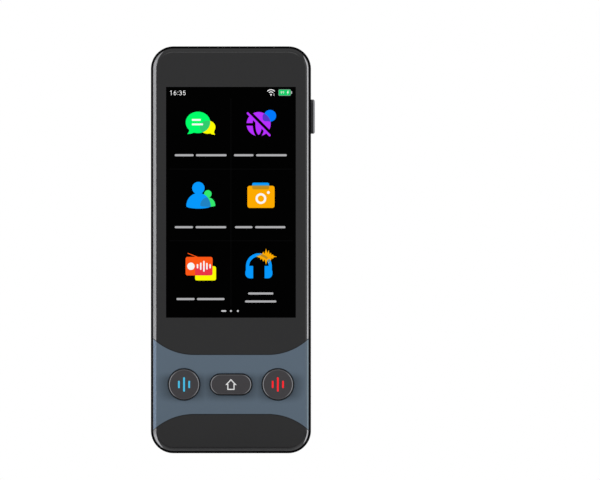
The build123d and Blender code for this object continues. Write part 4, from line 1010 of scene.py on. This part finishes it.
# The voice is a zigzag: a row of peaks and dips above a middle line, and one below, run back the other way.
peaks = [(7.7, 0.0), (8.39, 0.34), (8.6, 0.3), (8.87, 1.0), (9.18, 0.5), (9.61, 1.5), (9.98, 0.8),
         (10.43, 2.36), (10.82, 1.0), (11.2, 1.95), (11.5, 0.75), (11.84, 1.15), (12.1, 0.45), (12.47, 0.66),
         (12.72, 0.2)]
voice_x, voice_up = np.array(peaks).T
voice = np.concatenate([np.stack([voice_x, VOICE_Z + voice_up], axis=1), [(13.75, VOICE_Z)],
                        np.stack([voice_x, VOICE_Z - voice_up], axis=1)[:0:-1]])
on_display("headphones_pictogram", [
    line(hoop, 0.96, 2, "blue"),
    *[shape(cup, 3, "blue") for cup in cups],
    shape(voice, 4, "orange"),
    line(on_hoop(80, 43), 0.7, 5, "bronze"),
    line([(7.5, 58.5), (8.95, 59.1)], 0.34, 5, "grey-green"),
    line(on_hoop(36, 23), 0.8, 5, "grey-green"),
])

# %% [markdown]
# ## Labels, clock and status marks
# Each tile has a label under it. Words would date the part and tie it to one maker, so every word is a
# plain rounded bar of its length. The clock and the charge are numbers. Each digit is one or two strokes
# made of straight runs and arcs of ellipses, as a sign writer would paint it.

# %% Labels and page marks
# Each label's height, its left end and its right end.
LABELS = [(88.62, -16.7, -11.1), (88.62, -10.4, -1.3), (88.62, 0.9, 6.7), (88.62, 7.5, 16.6),
          (67.22, -16.7, -11.3), (67.22, -10.5, -1.4), (67.22, 1.2, 6.4), (67.22, 7.2, 16.2),
          (45.85, -16.2, -10.8), (45.85, -10.1, -1.9), (47.5, 5.1, 12.6), (45.13, 4.2, 13.5)]
BAR, TILE_LINE, PAGE_Z = 0.62, 0.12, 42.3  # two widths, and the height of the page marks
on_display("label_bars", [shape(capsule((low + BAR / 2, z), (high - BAR / 2, z), BAR), 2, "label grey")
                          for z, low, high in LABELS])
on_display("tile_lines", [
    line([(0.0, 105.5), (0.0, 43.6)], TILE_LINE, 2, "faint grey"),
    *[line([(-18.4, z), (18.4, z)], TILE_LINE, 3, "faint grey") for z in (84.5, 63.17)],
])
on_display("page_marks", [
    shape(capsule((-2.64, PAGE_Z), (-1.62, PAGE_Z), 0.46), 2, "pale grey"),
    *[shape(oval((x, PAGE_Z), 0.28, 0.28), 2, "pale grey") for x in (0.0, 2.05)],
])

# %% Digits
DIGIT_WIDTH, DIGIT_HEIGHT = 1.28, 1.44  # the box round each digit before it is scaled
six = [arc((0.48, 0.46), 0.36, 0.4, 0, 340, 28), arc((0.86, 0.5), 0.74, 0.93, 178, 106)]
DIGITS = {
    "1": [[(0.16, 1.2), (0.52, 1.44), (0.52, 0.0)]],
    "3": [np.concatenate([arc((0.44, 1.08), 0.32, 0.34, 150, -75),
                          arc((0.44, 0.42), 0.38, 0.38, 75, -150)])],
    "5": [np.concatenate([[(0.8, 1.38), (0.22, 1.38), (0.14, 0.76)],
                          arc((0.44, 0.47), 0.37, 0.43, 125, -150)])],
    "6": six,
    "9": [np.array((0.96, DIGIT_HEIGHT)) - stroke for stroke in six],
}


def written(digits, corner, height, thickness, number):
    """Digits in a row as lit stripes, scaled to a height, from their lower left corner."""
    strokes = [np.array(stroke) + (DIGIT_WIDTH * count, 0.0)
               for count, digit in enumerate(digits) for stroke in DIGITS[digit]]
    scale = height / DIGIT_HEIGHT
    return [line(np.array(corner) + stroke * scale, thickness, number, "white") for stroke in strokes]


CLOCK_LOW, CLOCK_HEIGHT = 106.5, 1.3
on_display("clock_digits", [
    *written("16", (-18.2, CLOCK_LOW), CLOCK_HEIGHT, 0.14, 2),
    *written("35", (-15.44, CLOCK_LOW), CLOCK_HEIGHT, 0.14, 2),
    *[shape(oval((-15.76, CLOCK_LOW + up), 0.1, 0.1), 2, "white") for up in (0.2, 0.92)],
])

# %% Signal and charge marks
SIGNAL = (11.92, 106.63)
on_display("signal_mark", [
    *[line(arc(SIGNAL, radius, radius, 43, 137), 0.24, 2, "white") for radius in (0.84, 1.48)],
    shape(oval(SIGNAL, 0.25, 0.25), 2, "white"),
    shape(capsule((12.8, 106.3), (12.8, 107.05), 0.1), 2, "white"),
])
bolt = np.array([(0.0, 0.55), (-0.32, -0.1), (-0.04, -0.1), (-0.2, -0.55), (0.3, 0.1), (0.0, 0.1),
                 (0.2, 0.55)])
on_display("charge_mark", [
    shape(soft_box((14.12, 106.3), (17.82, 108.22), 0.35), 2, "grey-green"),
    shape(soft_box((14.27, 106.45), (17.67, 108.07), 0.25), 3, "charge green"),
    shape(soft_box((17.9, 106.9), (18.15, 107.65), 0.1), 2, "pale grey"),
    shape(bolt + (16.95, 107.26), 4, "white"),
    *written("99", (14.75, 106.95), 0.68, 0.08, 4),
])

# %% [markdown]
# ## Marks on the buttons
# The talk buttons carry three upright bars each, one set pale blue and one red, and the middle button a
# house. They are light windows in the cap, so they glow a little of their own. Each rides on its own
# button, because it travels with the cap when that is pressed. The house is one closed stripe: from the
# roof's tip to the eaves, in to the wall, and down round the floor.

# %% Button marks
MARK_RISE = 0.012 * MM  # how far a mark stands proud of its cap
CAP_MIDDLE = BAND_Z / MM  # outlines are in millimetres
BAR_WIDTH, BAR_PITCH, HOUSE_WIDTH = 0.54, 1.53, 0.32


def window_mark(name, colour):
    """Translucent mark in a cap: its own soft light over a satin surface."""
    material, tree, shader = start_finish(name, Roughness=0.35, Specular_IOR_Level=0.3,
                                          Emission_Strength=0.4)
    tone = blend(tree, noise(tree, 0.4, 2.0), scaled(colour, 0.86), colour)
    join(tree, shader, Base_Color=tone, Emission_Color=tone)
    return material


def in_cap(made_by, path, *sizes, **settings):
    """A plate or a stripe set into the front of a cap."""
    return made_by(path, *sizes, CAP_Y - MARK_RISE, CAP_Y + SEAT, **settings)


for side, end, finish in ((-1, "left", window_mark("pale blue mark", linear(60, 176, 214))),
                          (1, "right", window_mark("red mark", linear(240, 14, 28)))):
    middle = side * TALK_X / MM
    bars = [(middle - BAR_PITCH, 0.84), (middle, 1.88), (middle + BAR_PITCH, 0.84)]
    make_piece(f"{end}_talk_mark", [
        (in_cap(plate, capsule((x, CAP_MIDDLE - half), (x, CAP_MIDDLE + half), BAR_WIDTH)), finish)
        for x, half in bars], f"{end}_talk_button")

half_house = [(0.0, 1.42), (-1.32, 0.0), (-0.92, 0.0), (-0.92, -1.46)]
house = np.array(half_house + [(-x, z) for x, z in half_house[:0:-1]]) + (0.0, CAP_MIDDLE)
make_piece("home_mark", [(in_cap(stripe, house, HOUSE_WIDTH, closed=True),
                          window_mark("white mark", linear(206, 206, 206)))], "home_button")

# %% [markdown]
# ## Contacts in the socket
# A USB-C tongue carries twelve gilt contacts on each face, half a millimetre apart. They are twenty-four
# thin plates, placed from the tongue's own box, and seen only when one looks into the mouth of the socket.
# Each is the same small rounded outline, turned to lie on the tongue's upper or lower face.

# %% Gilt contacts
CONTACTS, PITCH, HALF_CONTACT = 12, 0.5, 0.13
HALF_TONGUE, CONTACT_RISE = 0.35 * MM, 0.02 * MM
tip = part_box("usb_c_tongue")[0].z / MM
contact_shapes = []
for face in (-1, 1):
    for number in range(CONTACTS):
        x = (number - (CONTACTS - 1) / 2) * PITCH
        outline = soft_box((x - HALF_CONTACT, tip + 0.35), (x + HALF_CONTACT, tip + 4.4), 0.1)
        front, rear = sorted((face * (HALF_TONGUE - SEAT), face * (HALF_TONGUE + CONTACT_RISE)))
        contact_shapes.append((plate(outline, front, rear), finishes["microphone_metal"]))
make_piece("socket_contacts", contact_shapes, "device")

# %% [markdown]
# ## Studio
# The device stands on a pale floor in plain soft light. Two tall narrow softboxes stand at the sides, where
# the polished bevels look: a ray from the front turns by twice the bevel's slope, 70 degrees, so that is
# where they stand, and the long edges shine over their painted highlight while the flat fronts stay dark.
# The left one is the stronger.
# A broad light above in front and two behind fill the rest, of which the right one brightens the curved
# side of the cover. So a colour shows about as it is written. The white around comes from the world's
# colour, at full strength for the eye and for reflections only. The floor fades into the same white far
# from the device.

# %% Floor
FLOOR = 4.0
CLEAR = 0.02 * MM  # under the device, so that its lower face and the floor aren't one surface


def looked_at(tree):
    """1 on rays that the eye follows, straight, mirrored or through glass, and 0 on the others."""
    rays = add(tree, "ShaderNodeLightPath").outputs
    turned = calc(tree, "MAXIMUM", rays["Is Glossy Ray"], rays["Is Transmission Ray"])
    return calc(tree, "MAXIMUM", rays["Is Camera Ray"], turned)


def floor_finish():
    """Pale floor near the device, which turns to plain white light far from it."""
    material, tree, shader = start_finish("pale floor", Roughness=0.8, Specular_IOR_Level=0.1)
    away = add(tree, "ShaderNodeVectorMath", {0: place(tree)}, operation="LENGTH").outputs["Value"]
    tone = blend(tree, noise(tree, 60.0, 3.0), (0.86, 0.86, 0.865, 1.0), (0.9, 0.9, 0.9, 1.0))
    join(tree, shader, Base_Color=tone)
    share = calc(tree, "MULTIPLY", ramp(tree, away, 0.15, 0.8), looked_at(tree))
    glow = add(tree, "ShaderNodeEmission", {"Color": (1.0, 1.0, 1.0, 1.0), "Strength": 1.0}).outputs[0]
    mixed = add(tree, "ShaderNodeMixShader", {0: share, 1: shader.outputs[0], 2: glow}).outputs[0]
    tree.links.new(mixed, tree.nodes["Material Output"].inputs["Surface"])
    return material


rim = oval((0.0, 0.0), FLOOR, FLOOR)
floor_mesh = bpy.data.meshes.new("floor")
floor_mesh.from_pydata(np.column_stack([rim, np.full(ROUND, -CLEAR)]).tolist(), [], [list(range(ROUND))])
floor_mesh.materials.append(floor_finish())
floor = bpy.data.objects.new("floor", floor_mesh)
bpy.context.scene.collection.objects.link(floor)
print("floor reaches", FLOOR, "m")

# %% World and lights
AMBIENT = 0.55  # strength of the world's light on things
AIM = (0.0, 0.0, 0.06)  # the middle of the device, in metres
BEVEL_SIGHT = 69.6  # degrees from the front, where the polished bevels look
world = bpy.data.worlds.new("white surround")
bpy.context.scene.world = world
world.use_nodes = True
surround = world.node_tree.nodes["Background"]
surround.inputs["Color"].default_value = (1.0, 1.0, 1.0, 1.0)
strength = ramp(world.node_tree, looked_at(world.node_tree), 0.0, 1.0, AMBIENT, 1.0, smooth=False)
world.node_tree.links.new(strength, surround.inputs["Strength"])


def softbox(name, width, height, distance, azimuth, elevation, radiance):
    """An area light on a sphere round the device. Azimuth 0 is in front, and 90 is at its right (+X).

    Its power is its radiance times its area times pi, so the radiance is what a mirror would show.
    """
    azimuth, elevation = math.radians(azimuth), math.radians(elevation)
    level = math.cos(elevation)
    away = np.array([math.sin(azimuth) * level, -math.cos(azimuth) * level, math.sin(elevation)])
    lamp = bpy.data.lights.new(name, "AREA")
    lamp.shape = "RECTANGLE"
    lamp.size, lamp.size_y = width, height
    lamp.energy = radiance * width * height * math.pi
    holder = bpy.data.objects.new(name, lamp)
    bpy.context.scene.collection.objects.link(holder)
    holder.location = np.array(AIM) + away * distance
    across = np.cross((0.0, 0.0, 1.0), away)
    across /= np.linalg.norm(across)
    axes = np.stack([across, np.cross(away, across), away], axis=1)
    holder.rotation_euler = Matrix(axes.tolist()).to_euler()


softbox("left_strip", 0.10, 0.75, 0.7, -BEVEL_SIGHT, 0.0, 4.0)
softbox("right_strip", 0.10, 0.75, 0.7, BEVEL_SIGHT, 0.0, 1.2)
softbox("top_box", 0.7, 0.6, 0.9, 0.0, 42.0, 1.6)
softbox("back_left_box", 0.5, 0.6, 0.9, -140.0, 30.0, 0.2)
softbox("back_right_box", 0.5, 0.6, 0.9, 140.0, 30.0, 3.2)

# %% [markdown]
# ## Camera
# The front is seen square on, with no perspective: its vertical edges stay upright and its two talk buttons
# are the same size. An orthographic camera shows exactly that. It looks along +Y at mid height, and stands
# to the right of the device, which leaves the device on the left of the frame.

# %% Camera
VIEW_WIDTH = 178.44 * MM
VIEW_MIDDLE = (20.54 * MM, -1.2, 63.41 * MM)  # 1.2 m in front of the device
lens = bpy.data.cameras.new("front_view")
lens.type = "ORTHO"
lens.ortho_scale = VIEW_WIDTH
lens.clip_start, lens.clip_end = 0.01, 20.0
camera = bpy.data.objects.new("front_view", lens)
camera.location = VIEW_MIDDLE
camera.rotation_euler = (math.pi / 2, 0.0, 0.0)
bpy.context.scene.collection.objects.link(camera)
bpy.context.scene.camera = camera
bpy.context.scene.view_settings.view_transform = "Standard"
print("view is", round(VIEW_WIDTH / MM, 1), "mm wide")
